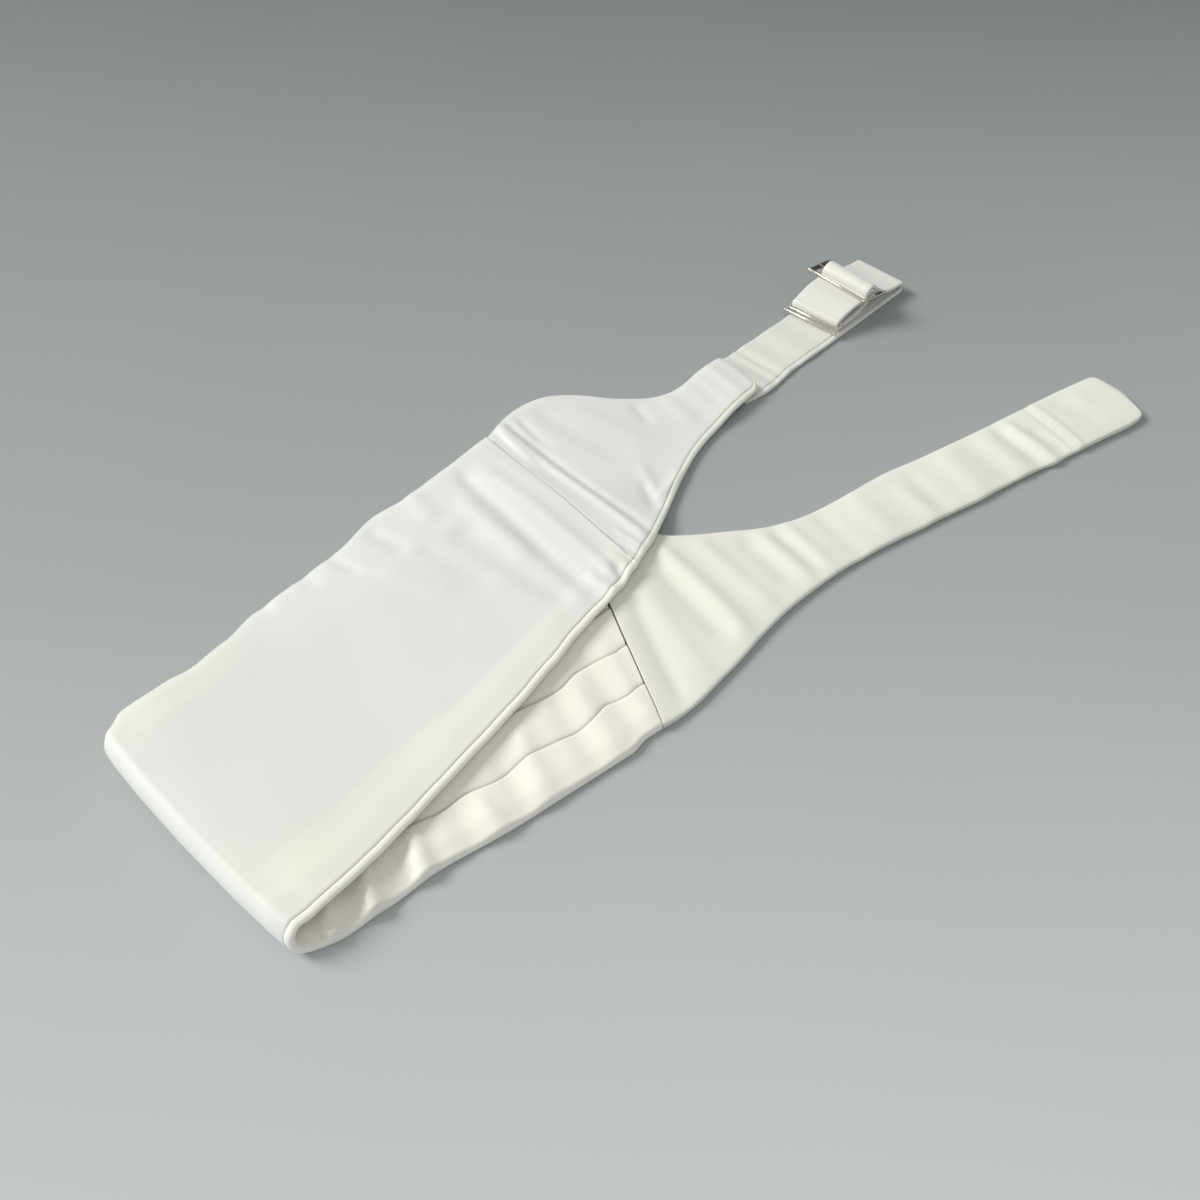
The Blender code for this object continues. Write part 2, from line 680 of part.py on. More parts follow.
def slotted_plate(ends, bars, thickness):
    """A flat frame: its two ends are spans across it, its bars are spans along the strap."""
    across = sorted({edge for span in ends for edge in span})
    along = sorted({edge for span in bars for edge in span})

    def filled(low_across, low_along):
        in_end = any(span.start <= low_across < span.end for span in ends)
        in_bar = any(span.start <= low_along < span.end for span in bars)
        return in_end or in_bar

    mesh_data = bmesh.new()
    grid = {}
    for level in (0.0, thickness):
        for place_across in across:
            for place_along in along:
                point = (place_along, place_across, level - 0.5 * thickness)
                grid[place_across, place_along, level] = mesh_data.verts.new(point)
    cells = [
        (low_across, high_across, low_along, high_along)
        for low_across, high_across in zip(across, across[1:])
        for low_along, high_along in zip(along, along[1:])
        if filled(low_across, low_along)
    ]
    walls = {}
    for low_across, high_across, low_along, high_along in cells:
        corners = [
            (low_across, low_along),
            (high_across, low_along),
            (high_across, high_along),
            (low_across, high_along),
        ]
        for level in (0.0, thickness):
            mesh_data.faces.new([grid[corner[0], corner[1], level] for corner in corners])
        for start, end in zip(corners, corners[1:] + corners[:1]):
            key = frozenset((start, end))
            walls[key] = None if key in walls else (start, end)
    for pair in walls.values():
        if pair is not None:
            start, end = pair
            mesh_data.faces.new(
                (
                    grid[start[0], start[1], 0.0],
                    grid[end[0], end[1], 0.0],
                    grid[end[0], end[1], thickness],
                    grid[start[0], start[1], thickness],
                )
            )
    loose = [vert for vert in mesh_data.verts if not vert.link_faces]
    bmesh.ops.delete(mesh_data, geom=loose, context="VERTS")
    flat = [edge for edge in mesh_data.edges if edge.calc_face_angle(1.0) < 1e-4]
    bmesh.ops.dissolve_edges(mesh_data, edges=flat, use_verts=True)
    bmesh.ops.recalc_face_normals(mesh_data, faces=mesh_data.faces)
    bmesh.ops.bevel(
        mesh_data, geom=list(mesh_data.edges), offset=0.3 * thickness, segments=2, profile=0.5, affect="EDGES"
    )
    return mesh_data


def place_plate(mesh_data, along, height, tilt):
    """A plate tilted about its crosswise line, turned to the strap's slant and carried to its place."""
    turn = Matrix.Rotation(STRAP_HEADING - math.atan(strap_slant(along, True)), 3, "Z")
    turn = turn @ Matrix.Rotation(tilt, 3, "Y")
    bmesh.ops.transform(mesh_data, matrix=turn.to_4x4(), verts=mesh_data.verts)
    place = strap_place(along, height, strap_drift(along, True))
    bmesh.ops.translate(mesh_data, vec=place, verts=mesh_data.verts)


def make_adjuster():
    """The slide adjuster: a flat frame with a centre bar that the strap is wrapped round."""
    mesh_data = slotted_plate(ADJUSTER_ENDS, ADJUSTER_BARS, ADJUSTER_PLATE)
    place_plate(mesh_data, ADJUSTER_ALONG, ADJUSTER_HEIGHT, ADJUSTER_TILT)
    return add_object("slide_adjuster", mesh_data, POLISHED_METAL)


def make_clasp():
    """The clasp: a slim ring with a second bar, held by the strap's loop."""
    mesh_data = slotted_plate(CLASP_ENDS, CLASP_BARS, CLASP_PLATE)
    place_plate(mesh_data, CLASP_ALONG, CLASP_HEIGHT, CLASP_TILT)
    return add_object("clasp", mesh_data, POLISHED_METAL)


def stand_on_origin(objects):
    """Move every piece so that the middle of the garment's base is the origin."""
    points = [vertex.co for piece in objects for vertex in piece.data.vertices]
    low = Vector([min(point[axis] for point in points) for axis in range(3)])
    high = Vector([max(point[axis] for point in points) for axis in range(3)])
    shift = Vector((-0.5 * (low.x + high.x), -0.5 * (low.y + high.y), -low.z))
    for piece in objects:
        piece.data.transform(Matrix.Translation(shift))


def main():
    for item in list(bpy.data.objects):
        bpy.data.objects.remove(item)
    make_back_panel()
    make_pleated_front()
    make_band(UPPER, "upper_band", 8)
    make_band(LOWER, "lower_band", 6)
    make_strap()
    make_adjuster()
    make_clasp()
    stand_on_origin(list(bpy.data.objects))


main()
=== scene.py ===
"""A white satin cummerbund, folded once and laid on a pale table.

The shapes are worked out in the fold's own frame, in millimetres: the fold lies along Y near X = 0, both halves
run towards +X, and Z = 0 is the table. Every sewn piece is a thin shell between two grids of points, with its
creases, turned edges and seam valleys in its own sizes.
"""

import logging
import math
from dataclasses import dataclass
from enum import Enum
from typing import Optional, Sequence, Union

import bmesh
import bpy
import numpy as np
from mathutils import Matrix, Vector


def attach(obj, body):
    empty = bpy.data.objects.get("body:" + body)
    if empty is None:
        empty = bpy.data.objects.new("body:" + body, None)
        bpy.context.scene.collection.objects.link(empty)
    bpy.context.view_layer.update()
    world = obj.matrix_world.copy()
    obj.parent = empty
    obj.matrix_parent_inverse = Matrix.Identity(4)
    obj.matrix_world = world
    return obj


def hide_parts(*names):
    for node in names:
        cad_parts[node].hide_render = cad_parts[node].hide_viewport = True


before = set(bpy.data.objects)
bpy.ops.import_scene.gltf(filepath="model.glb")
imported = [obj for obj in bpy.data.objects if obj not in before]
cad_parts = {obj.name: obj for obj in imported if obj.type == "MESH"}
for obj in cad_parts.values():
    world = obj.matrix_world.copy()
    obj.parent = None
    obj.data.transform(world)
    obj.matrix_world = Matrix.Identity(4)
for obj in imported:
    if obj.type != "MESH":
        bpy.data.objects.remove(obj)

log = logging.getLogger("cummerbund")

MM = 0.001
ORIGIN = np.array((-245.016, 9.641, 0.0))

# Gaps, walls and turned edges of the cloth
GAP = 0.3
SEAM_GAP = 0.02
SHELL = 0.9
NEAR_RIM = 3.4
FAR_RIM = 0.5
BODY_THICKNESS = 4.4
BAND_THICKNESS = 3.2

# The fold, and the strip that is folded
SKEW = math.radians(8.06)
BODY_NEAR = -61.0
BODY_FAR = 65.0
FOLD_RADIUS = 6.8
QUARTER = 0.5 * math.pi * FOLD_RADIUS
LOST = QUARTER - FOLD_RADIUS
LOOP_LENGTH = 75.0
BULGE_REACH = 80.0
UPPER_SEAM = (218.0, 229.4)
LOWER_SEAM = (164.0, 221.5)

# Pleats, and the height of creases
PLEAT_COUNT = 6
PLEAT_LOW = 3.2
CREASE_FLOOR = -0.2
CREASE_FADE = 14.0
RELIEF = 1.75
BODY_RIPPLE = 0.16
BAND_RIPPLE = 0.12
BAND_RIPPLE_SEED = 2.2

# How the upper half is carried by the lower one, then let down to the table
STACK_HEIGHT = 4.8
SIDE_DROP = 85.0
SIDE_DROP_LEAD = 6.0
DROP_START = 222.0
DROP_LENGTH = 78.0
SHOULDER_SLOPE = 2.1
SHOULDER_END = -52.0
TABLE_CLEARANCE = 0.1

# The end bands and the tail
STRAP_UNDERLAP = 2.4
UNDERLAP_LEAD = 2.7
UNDERLAP_RISE = 1.4
BAND_CROWN = 0.8
TAIL_BOW = 1.8
HEM_SECTION = 14.3
HEM_THICKNESS = 0.5

# The strap's route, and the two metal frames on it
STRAP_WIDTH = 32.8
STRAP_THICKNESS = 2.0
STRAP_START = (355.0, 42.8)
STRAP_HEADING = math.radians(1.8)
TURN_ALONG = 132.3
TURN_RADIUS = 2.7
TURN_DRIFT = -1.2
STRAP_UNDER_BAND = -9.0
BAR_RADIUS = 1.0
WRAP_TURN = 292.0
ADJUSTER_ALONG = 102.5
ADJUSTER_HEIGHT = 13.8
ADJUSTER_TILT = math.radians(5.4)
ADJUSTER_SLANT = 0.095
CLASP_ALONG = 76.0
CLASP_HEIGHT = 5.8
CLASP_TILT = math.radians(-15.5)
CLASP_SLANT = -0.03
CLASP_DRIFT = 1.4
CLASP_SQUEEZE = 0.955
TURN_SLANT = 0.04
BAR_SIDES = 16
BAR_INSET = 0.6
BAR_DOME = ((0.5, 0.35), (0.3, 0.75), (0.0, 1.0))

# The fold's bulge: across the strip, outwards
FOLD_BULGE = np.array(
    (
        (-66.0, -0.6), (-61.0, 1.2), (-49.0, 3.0), (-29.0, 4.8), (5.0, 6.5), (33.0, 7.0), (50.0, 6.7), (59.0, 6.2),
        (66.0, 5.6),
    )
)

# The strip's edges: run from the fold, near edge, far edge
BODY_EDGES = np.array(
    (
        (-230.0, -60.6, 65.0), (-160.0, -61.0, 65.0), (-150.0, -63.4, 65.0), (-95.0, -63.6, 65.0),
        (-62.0, -61.8, 65.0), (-36.0, -63.6, 65.0), (-19.0, -64.4, 65.0), (-6.0, -61.6, 62.0), (3.0, -60.0, 59.8),
        (10.0, -59.6, 62.0), (17.0, -60.6, 65.2), (36.0, -61.2, 63.9), (47.0, -61.0, 62.2), (63.0, -60.2, 63.8),
        (82.0, -59.1, 67.6), (106.0, -58.3, 67.0), (130.0, -57.5, 66.3), (155.0, -55.6, 69.9), (175.0, -53.4, 66.9),
        (193.0, -52.7, 66.5), (207.0, -52.0, 65.9), (219.0, -50.0, 66.2), (238.0, -44.0, 66.2),
    )
)

# Sections of the end bands: near edge's x and y, far edge's x and y
UPPER_BAND = np.array(
    (
        (218.3, -18.1, 229.7, 100.0), (226.0, -15.2, 238.0, 102.6), (236.0, -11.8, 248.5, 105.7),
        (250.0, -4.8, 262.5, 106.0), (263.6, 2.3, 275.3, 101.6), (278.7, 9.6, 287.5, 90.2),
        (295.3, 16.4, 299.0, 75.2), (311.0, 20.8, 313.5, 62.6), (326.0, 23.2, 328.5, 58.2),
        (341.0, 25.2, 345.0, 59.4), (357.5, 26.6, 363.0, 59.6),
    )
)
LOWER_BAND = np.array(
    (
        (164.3, -85.5, 221.8, 32.0), (172.0, -86.8, 230.0, 22.0), (184.0, -87.2, 236.0, 8.0),
        (198.0, -86.0, 242.0, -8.0), (214.0, -84.6, 253.0, -19.4), (232.0, -82.2, 266.0, -29.0),
        (252.0, -80.9, 279.0, -38.8), (275.0, -81.8, 294.0, -46.6), (298.0, -84.3, 311.0, -51.2),
        (320.0, -89.0, 331.0, -54.6), (341.0, -94.2, 351.0, -57.4), (362.0, -98.8, 372.0, -62.9),
        (387.0, -104.2, 397.0, -68.6), (411.0, -109.6, 420.5, -73.9), (431.0, -114.6, 440.0, -77.8),
        (455.0, -120.2, 464.0, -82.8), (473.0, -124.6, 482.0, -87.2), (484.5, -125.6, 493.5, -90.4),
        (489.0, -122.0, 497.0, -94.5),
    )
)

# A front piece's turned edges: offset from the edge and depth below the top, outside and inside
NEAR_OUTSIDE = ((3.38, 0.45), (3.2, 0.14), (2.4, 0.02), (1.4, 0.05), (0.6, 0.3), (0.12, 0.8), (0.0, 1.3), (0.35, 1.95))
NEAR_INSIDE = ((3.3, 1.15), (2.9, 1.1), (2.3, 0.85), (1.7, 0.85), (1.2, 1.0), (0.95, 1.2), (0.95, 1.35), (1.2, 1.8))
FAR_OUTSIDE = ((0.48, 1.2), (0.4, 1.1), (0.3, 1.15), (0.2, 1.3), (0.1, 1.5), (0.03, 1.8), (0.0, 2.2), (0.25, 2.8))
FAR_INSIDE = ((1.3, 1.5), (1.28, 1.5), (1.25, 1.5), (1.15, 1.55), (1.0, 1.65), (0.95, 1.8), (0.9, 2.0), (1.0, 2.2))
FLAT_OUTSIDE = ((3.4, 0.0), (1.2, 0.0), (0.4, 0.25), (0.0, 0.9), (0.0, 2.1), (0.1, 2.65), (0.4, 2.95), (1.1, 3.12))
FLAT_INSIDE = ((3.4, 0.6), (1.6, 0.6), (1.1, 0.8), (0.9, 1.1), (0.9, 1.6), (1.0, 1.9), (1.2, 2.1), (1.8, 2.2))

# Places where the tail's near edge juts out: along X, by how much and how widely
TAIL_BUMPS = ((421.5, 1.1, 4.5), (300.0, 0.5, 7.0), (372.0, 0.6, 8.0), (347.0, -0.4, 6.0))


class Held(Enum):
    """How a cut piece of cloth is held."""

    FOLDED = "folded"
    LAID = "laid"


class Side(Enum):
    """Which half of the garment an end band belongs to."""

    UPPER = "upper"
    LOWER = "lower"


@dataclass(frozen=True)
class Crease:
    """A soft ridge (height above zero) or trough, seen from above, in millimetres."""

    start: tuple
    end: tuple
    width: float
    height: float
    bow: float = 0.0
    flare: float = 0.0
    fade: float = CREASE_FADE

    def rise(self, x: np.ndarray, y: np.ndarray) -> np.ndarray:
        """How far this crease lifts the cloth.

        Args:
            x: The points' places along X.
            y: The points' places along Y.

        Returns:
            The rise at each point.
        """
        line = np.subtract(self.end, self.start)
        length = float(np.hypot(*line))
        along = ((x - self.start[0]) * line[0] + (y - self.start[1]) * line[1]) / length
        aside = ((x - self.start[0]) * line[1] - (y - self.start[1]) * line[0]) / length
        share = np.clip(along / length, 0.0, 1.0)
        aside = aside - self.bow * 4.0 * share * (1.0 - share)
        width = self.width * (1.0 + self.flare * (share - 0.5))
        ends = smooth(along / self.fade + 0.5) * smooth((length - along) / self.fade + 0.5)
        return self.height * ends * hill(aside, width)


def creases_from(*rows: tuple) -> tuple:
    """Creases from rows of start x and y, end x and y, width, height and then, if given, bow, flare and fade."""
    return tuple(Crease(row[:2], row[2:4], *row[4:]) for row in rows)


UPPER_CREASES = creases_from(
    (200.8, 86.2, 190.6, -22.1, 4.6, -0.9, 1.2, 0.3), (211.1, 83.2, 205.0, -17.8, 3.8, 0.55, -0.8, -0.3),
    (174.1, 54.5, 180.2, -11.9, 6.5, -0.8, 1.5, -0.4), (188.0, 70.0, 186.0, 20.0, 4.5, 0.5, 0.5),
    (239.2, 101.1, 233.4, -9.0, 2.7, 0.9, 0.6, 0.2, 10.0), (244.2, 101.0, 238.4, -4.0, 2.3, -0.6, 0.6, 0.3, 10.0),
    (262.0, 96.0, 268.0, 40.0, 5.0, -0.3, 1.0, 0.4), (276.0, 84.0, 284.0, 40.0, 5.5, 0.3, -0.8, 0.3),
    (236.2, 96.8, 232.9, 67.0, 2.0, 0.7, 0.0, 0.4), (250.5, 98.3, 247.0, 72.0, 2.6, -0.6, 0.4, 0.3),
    (209.5, -12.0, 204.1, -23.7, 2.2, -0.6, 0.0, 0.0, 6.0), (196.0, -9.0, 198.5, -23.0, 1.6, 0.4, 0.0, 0.2, 6.0),
    (201.0, -8.0, 203.0, -22.0, 1.4, -0.4, 0.0, 0.2, 6.0), (213.0, -6.0, 213.5, -19.0, 1.5, 0.4, 0.0, 0.2, 6.0),
    (221.0, 2.0, 222.5, -14.0, 1.6, -0.4, 0.0, 0.2, 6.0), (226.0, 4.0, 227.5, -12.0, 1.6, 0.4, 0.0, 0.2, 6.0),
    (300.8, 64.7, 296.9, 49.5, 3.0, -0.5, 0.0, 0.3, 8.0), (259.7, 7.9, 280.3, 13.1, 2.5, 0.5, 0.5, 0.0, 8.0),
    (262.0, 20.0, 252.0, 3.0, 3.0, -0.5, 0.0, 0.3, 8.0), (270.0, 30.0, 262.0, 12.0, 3.0, 0.4, 0.0, 0.0, 8.0),
    (80.0, 88.0, 83.0, 76.0, 4.0, -0.5, 0.0, 0.0, 8.0), (104.0, 86.0, 107.0, 74.0, 4.0, -0.5, 0.0, 0.0, 8.0),
    (121.0, 84.0, 124.0, 66.0, 3.2, -0.5, 0.0, 0.3, 8.0), (144.0, 86.0, 148.0, 62.0, 4.0, -0.6, 0.0, 0.3, 8.0),
    (174.0, 92.0, 170.0, 70.0, 5.0, 0.5, 0.0, 0.3, 8.0), (155.0, 60.0, 163.0, 20.0, 5.5, -0.45, 0.8, 0.3),
    (132.0, 60.0, 146.0, 26.0, 6.0, 0.35, 0.8, 0.2), (318.0, 60.0, 314.0, 34.0, 5.0, 0.4, 0.6),
    (336.0, 58.0, 333.0, 30.0, 4.0, -0.4, 0.4), (350.0, 58.0, 347.0, 30.0, 3.0, 0.4, 0.3, 0.0, 8.0),
)

LOWER_CREASES = creases_from(
    (228.4, -17.4, 217.6, -72.3, 5.0, -0.7, 1.0), (236.0, -15.0, 226.0, -78.0, 4.2, 0.8, -0.8, 0.2),
    (203.6, -29.9, 179.9, -82.1, 4.2, -0.5, 0.8), (212.0, -28.0, 196.0, -80.0, 5.0, 0.4, -0.6),
    (252.0, -24.0, 246.0, -76.0, 5.0, 0.6, 0.8), (268.1, -37.9, 263.6, -74.0, 5.0, -0.6, 0.6),
    (276.0, -42.0, 271.0, -76.0, 3.4, 0.5, 0.2), (282.2, -46.2, 279.1, -75.8, 3.0, -0.5, 0.2),
    (289.4, -45.8, 284.0, -78.0, 3.4, 0.5, 0.4), (306.0, -52.0, 300.0, -84.0, 5.0, -0.4, 0.5),
    (328.0, -56.0, 322.0, -86.0, 6.0, 0.4, 0.8), (347.6, -70.0, 345.7, -94.0, 4.0, 0.5, 0.2),
    (360.0, -66.0, 354.0, -94.0, 4.0, -0.4, 0.4), (384.0, -70.0, 377.0, -100.0, 6.0, 0.5, 0.8),
    (400.0, -72.0, 394.0, -104.0, 5.0, -0.4, 0.4), (411.0, -76.0, 404.0, -107.0, 4.5, 0.5, 0.4),
    (419.9, -78.2, 414.9, -109.7, 2.8, -0.8, 0.3, 0.3), (427.4, -79.0, 422.5, -112.0, 2.6, 0.8, 0.3, -0.5),
    (433.0, -92.0, 431.0, -112.0, 2.2, -0.5, 0.2, 0.3, 8.0), (437.9, -116.6, 446.0, -80.0, 0.8, -0.5, 0.0, 0.0, 3.0),
    (440.8, -116.4, 448.9, -80.8, 1.25, 0.6, 0.0, 0.0, 3.0), (443.9, -116.0, 452.0, -81.4, 0.8, -0.15, 0.0, 0.0, 3.0),
    (458.0, -84.0, 470.0, -112.0, 7.0, -0.4, 0.8), (474.0, -90.0, 466.0, -118.0, 6.0, 0.3, 0.5),
)

FRONT_CREASES = creases_from(
    (22.0, -46.0, 11.0, -70.0, 2.4, 2.0, 0.3, 0.8, 8.0), (29.0, -48.0, 18.5, -73.0, 2.6, -0.9, 0.3, 0.8, 8.0),
    (38.0, -50.0, 27.0, -75.0, 3.0, 1.9, 0.3, 0.8, 8.0), (49.0, -52.0, 40.0, -77.0, 3.6, -0.8, 0.3, 0.6, 8.0),
    (59.0, -53.0, 50.0, -78.0, 3.6, 1.3, 0.3, 0.5, 8.0), (76.9, -57.0, 72.0, -80.0, 4.4, -0.5, 0.4, 0.2, 10.0),
    (88.0, -58.0, 84.0, -80.0, 4.2, 0.7, 0.4, 0.4, 10.0), (105.0, -50.0, 96.0, -80.0, 4.2, -0.5, 0.4, 0.2, 10.0),
    (119.9, -46.8, 107.0, -79.0, 4.4, 0.7, 0.6, 0.4, 10.0), (141.8, -44.0, 131.0, -82.0, 4.4, -0.5, 0.6, 0.2, 10.0),
    (152.0, -46.0, 142.0, -83.0, 4.4, 0.5, 0.6, 0.2, 10.0), (165.0, -36.0, 154.0, -80.0, 3.4, -0.4, 0.4, 0.2, 10.0),
    (175.4, -40.0, 163.0, -80.0, 3.0, 0.35, 0.4, 0.2, 10.0),
)


def smooth(value: Union[float, np.ndarray]) -> np.ndarray:
    """Zero below 0, one above 1 and a soft step between."""
    part = np.clip(value, 0.0, 1.0)
    return part * part * (3.0 - 2.0 * part)


def hill(distance: np.ndarray, width: Union[float, np.ndarray]) -> np.ndarray:
    """One at no distance, falling softly to nothing over a few widths."""
    return np.exp(-((distance / width) ** 2))


def mix(start: np.ndarray, end: np.ndarray, share: np.ndarray) -> np.ndarray:
    """The value at a share of the way from start to end."""
    return start + (end - start) * share


def creased(x: np.ndarray, y: np.ndarray, creases: Sequence[Crease]) -> np.ndarray:
    """How far a set of creases lifts the cloth at each point."""
    return RELIEF * sum((crease.rise(x, y) for crease in creases), np.zeros_like(x))


def ripple(along: np.ndarray, aside: np.ndarray, seed: float) -> np.ndarray:
    """A gentle uneven wave between about -1 and 1, the same at every run.

    Args:
        along: Places along the cloth in millimetres.
        aside: Places across it in millimetres.
        seed: Shifts the waves, so that two pieces differ.

    Returns:
        The wave at each point.
    """
    first = np.sin(along / 9.7 + 0.9 * np.sin(aside / 21.0 + seed) + seed)
    second = np.sin(along / 5.3 - aside / 17.0 + 2.1 * seed)
    third = np.sin(aside / 11.0 + 0.7 * np.sin(along / 14.0) + 3.7 * seed)
    return 0.45 * first + 0.3 * second + 0.25 * third


def along_rows(rows: np.ndarray, position: np.ndarray) -> np.ndarray:
    """Rows of a table at fractional positions, as a smooth curve through its rows.

    Args:
        rows: The table, one section a row.
        position: The fractional row numbers.

    Returns:
        One interpolated row for each position.
    """
    last = len(rows) - 1
    index = np.clip(position.astype(int), 0, last - 1)
    before, start = rows[np.maximum(index - 1, 0)], rows[index]
    end, after = rows[index + 1], rows[np.minimum(index + 2, last)]
    share = (position - index)[:, None]
    linear = (end - before) * share
    square = (2.0 * before - 5.0 * start + 4.0 * end - after) * share**2
    cube = (3.0 * start - before - 3.0 * end + after) * share**3
    return 0.5 * (2.0 * start + linear + square + cube)


def upper_underside(x: np.ndarray, y: np.ndarray) -> np.ndarray:
    """The height of the upper half's underside: on the lower half, or let down to the table."""
    edge = BODY_FAR / math.cos(SKEW) - (x + LOST) * math.tan(SKEW)
    past = x - LOWER_BAND[0, 2]
    edge = np.where(past < 0.0, edge, np.maximum(edge - SHOULDER_SLOPE * past, SHOULDER_END))
    aside = 1.0 - smooth((y - edge + SIDE_DROP_LEAD) / SIDE_DROP)
    along = 1.0 - smooth((x - DROP_START) / DROP_LENGTH)
    return TABLE_CLEARANCE + STACK_HEIGHT * aside * along


def strip_edges(run: np.ndarray) -> tuple:
    """The folded strip's near and far edge, across it, at a run from the fold."""
    index = np.clip(np.searchsorted(BODY_EDGES[:, 0], run) - 1, 0, len(BODY_EDGES) - 2)
    start, end = BODY_EDGES[index], BODY_EDGES[index + 1]
    share = smooth((run - start[..., 0]) / (end[..., 0] - start[..., 0]))
    return mix(start[..., 1], end[..., 1], share), mix(start[..., 2], end[..., 2], share)


def seam_run(across: np.ndarray, seam: tuple) -> np.ndarray:
    """The run from the fold to a band seam at a place across the strip."""
    share = (across - BODY_NEAR) / (BODY_FAR - BODY_NEAR)
    return mix(seam[0], seam[1], share) + LOST


def body_points(run: np.ndarray, across: np.ndarray, inward: np.ndarray) -> np.ndarray:
    """Points of the folded body, measured inwards from the back panel's outer side.

    Args:
        run: Runs from the fold, above zero on the upper half.
        across: Places across the strip.
        inward: Depths below the back panel's outer side.

    Returns:
        The points, in an array with a last axis of three.
    """
    y = run * math.tan(SKEW) + across / math.cos(SKEW)
    past = np.maximum(np.abs(run) - QUARTER, 0.0)
    bulge = np.interp(across, FOLD_BULGE[:, 0], FOLD_BULGE[:, 1]) * (1.0 - smooth(past / BULGE_REACH))
    turn = np.clip(run, -QUARTER, QUARTER) / FOLD_RADIUS
    reach = FOLD_RADIUS - inward
    x = FOLD_RADIUS + past - bulge - reach * np.cos(turn)
    z = FOLD_RADIUS + reach * np.sin(turn)
    front = smooth((inward - 0.5) / 2.0)
    flat = smooth(past / 6.0)
    lower_bump = np.maximum(creased(x, y, FRONT_CREASES), -0.9) * front * flat
    settled = upper_underside(x, y) + BODY_THICKNESS
    loop = 1.0 - smooth((x - FOLD_RADIUS) / LOOP_LENGTH)
    bump = creased(x, y, UPPER_CREASES) + BODY_RIPPLE * ripple(x, y, 0.6) * flat
    bump = np.where(inward > 0.6 * BODY_THICKNESS, np.maximum(bump, CREASE_FLOOR), bump)
    upper = mix(settled, 2.0 * FOLD_RADIUS, loop) + bump - inward
    z = np.where(run > QUARTER, upper, z)
    z = np.where(run < -QUARTER, inward + lower_bump, z)
    return np.stack((x, y, z), -1)


def eased(distance: np.ndarray, depth: float = 0.55, width: float = 0.9) -> np.ndarray:
    """How far the cloth sinks into a seam at a distance from it."""
    return depth * hill(distance, width)


@dataclass
class Shell:
    """A closed thin shell between two grids of points, with a value of its finish at each point.

    Args:
        name: The piece's name.
        outer: The outside grid, rows by columns by three, in millimetres.
        inner: The inside grid of the same shape.
        across: Each column's place across the cloth, for the weave.
        along: Each row's place along the cloth, for the weave.
        warmth: How warm and bright the cloth is at each point, from 0 to 1; on the lining it also holds painted light
            and shade.
        shade: Painted shade: how much a seam's or a pleat line's groove darkens the outside, from 0 to 1.
    """

    name: str
    outer: np.ndarray
    inner: np.ndarray
    across: np.ndarray
    along: np.ndarray
    warmth: np.ndarray
    shade: np.ndarray

    def build(self, material: bpy.types.Material) -> bpy.types.Object:
        """The shell as an object in the row frame.

        Args:
            material: The finish of every face.

        Returns:
            The linked object.
        """
        rows, columns = self.outer.shape[:2]
        count = rows * columns
        points = np.concatenate((self.outer.reshape(-1, 3), self.inner.reshape(-1, 3)))
        faces = [
            (base + column, base + column + columns, base + column + columns + 1, base + column + 1)
            for skin in (0, count)
            for base in range(skin, skin + (rows - 1) * columns, columns)
            for column in range(columns - 1)
        ]
        border = [row * columns for row in range(rows)]
        border += [(rows - 1) * columns + column for column in range(1, columns)]
        border += [row * columns + columns - 1 for row in range(rows - 2, -1, -1)]
        border += list(range(columns - 2, 0, -1))
        for index, here in enumerate(border):
            after = border[(index + 1) % len(border)]
            faces.append((here, after, after + count, here + count))
        weave = np.stack((self.across, self.along), -1).reshape(-1, 2)
        weave = np.concatenate((weave, weave)) * MM
        warmth = np.concatenate((self.warmth.reshape(-1), self.warmth.reshape(-1)))
        shade = np.concatenate((self.shade.reshape(-1), np.zeros(count)))
        return make_object(self.name, points, faces, material, weave, {"warmth": warmth, "shade": shade})


def placed(name: str, data: bpy.types.ID) -> bpy.types.Object:
    """A new object of some data, linked to the scene."""
    made = bpy.data.objects.new(name, data)
    bpy.context.collection.objects.link(made)
    return made


def make_object(
    name: str,
    points: np.ndarray,
    faces: Sequence[tuple],
    material: bpy.types.Material,
    weave: Optional[np.ndarray] = None,
    tones: Optional[dict] = None,
) -> bpy.types.Object:
    """An object from points in the fold's frame, facing outwards.

    Args:
        name: The object's name.
        points: The points in millimetres.
        faces: Corner numbers of each face.
        material: The finish of every face.
        weave: Each point's place on the cloth, in metres, for the UV map.
        tones: Named values of each point, for the material.

    Returns:
        The linked object.
    """
    mesh = bpy.data.meshes.new(name)
    mesh.from_pydata(((points + ORIGIN) * MM).tolist(), [], faces)
    for title, values in (tones or {}).items():
        layer = mesh.attributes.new(title, "FLOAT", "POINT")
        layer.data.foreach_set("value", values.astype(np.float32))
    if weave is not None:
        corners = np.zeros(len(mesh.loops), dtype=np.int32)
        mesh.loops.foreach_get("vertex_index", corners)
        layer = mesh.uv_layers.new(name="weave")
        layer.data.foreach_set("uv", weave[corners].astype(np.float32).reshape(-1))
    work = bmesh.new()
    work.from_mesh(mesh)
    bmesh.ops.recalc_face_normals(work, faces=work.faces)
    work.to_mesh(mesh)
    work.free()
    mesh.materials.append(material)
    mesh.shade_smooth()
    mesh.update()
    return placed(name, mesh)


@dataclass
class Wire:
    """A socket whose value can be used in Python sums, each of which adds a Math node."""

    graph: "Graph"
    socket: bpy.types.NodeSocket

    def __add__(self, other: "Term") -> "Wire":
        """The sum."""
        return self.graph.math("ADD", self, other)

    def __sub__(self, other: "Term") -> "Wire":
        """The difference."""
        return self.graph.math("SUBTRACT", self, other)

    def __rsub__(self, other: "Term") -> "Wire":
        """The difference, from the other term."""
        return self.graph.math("SUBTRACT", other, self)

    def __mul__(self, other: "Term") -> "Wire":
        """The product."""
        return self.graph.math("MULTIPLY", self, other)

    __radd__ = __add__
    __rmul__ = __mul__


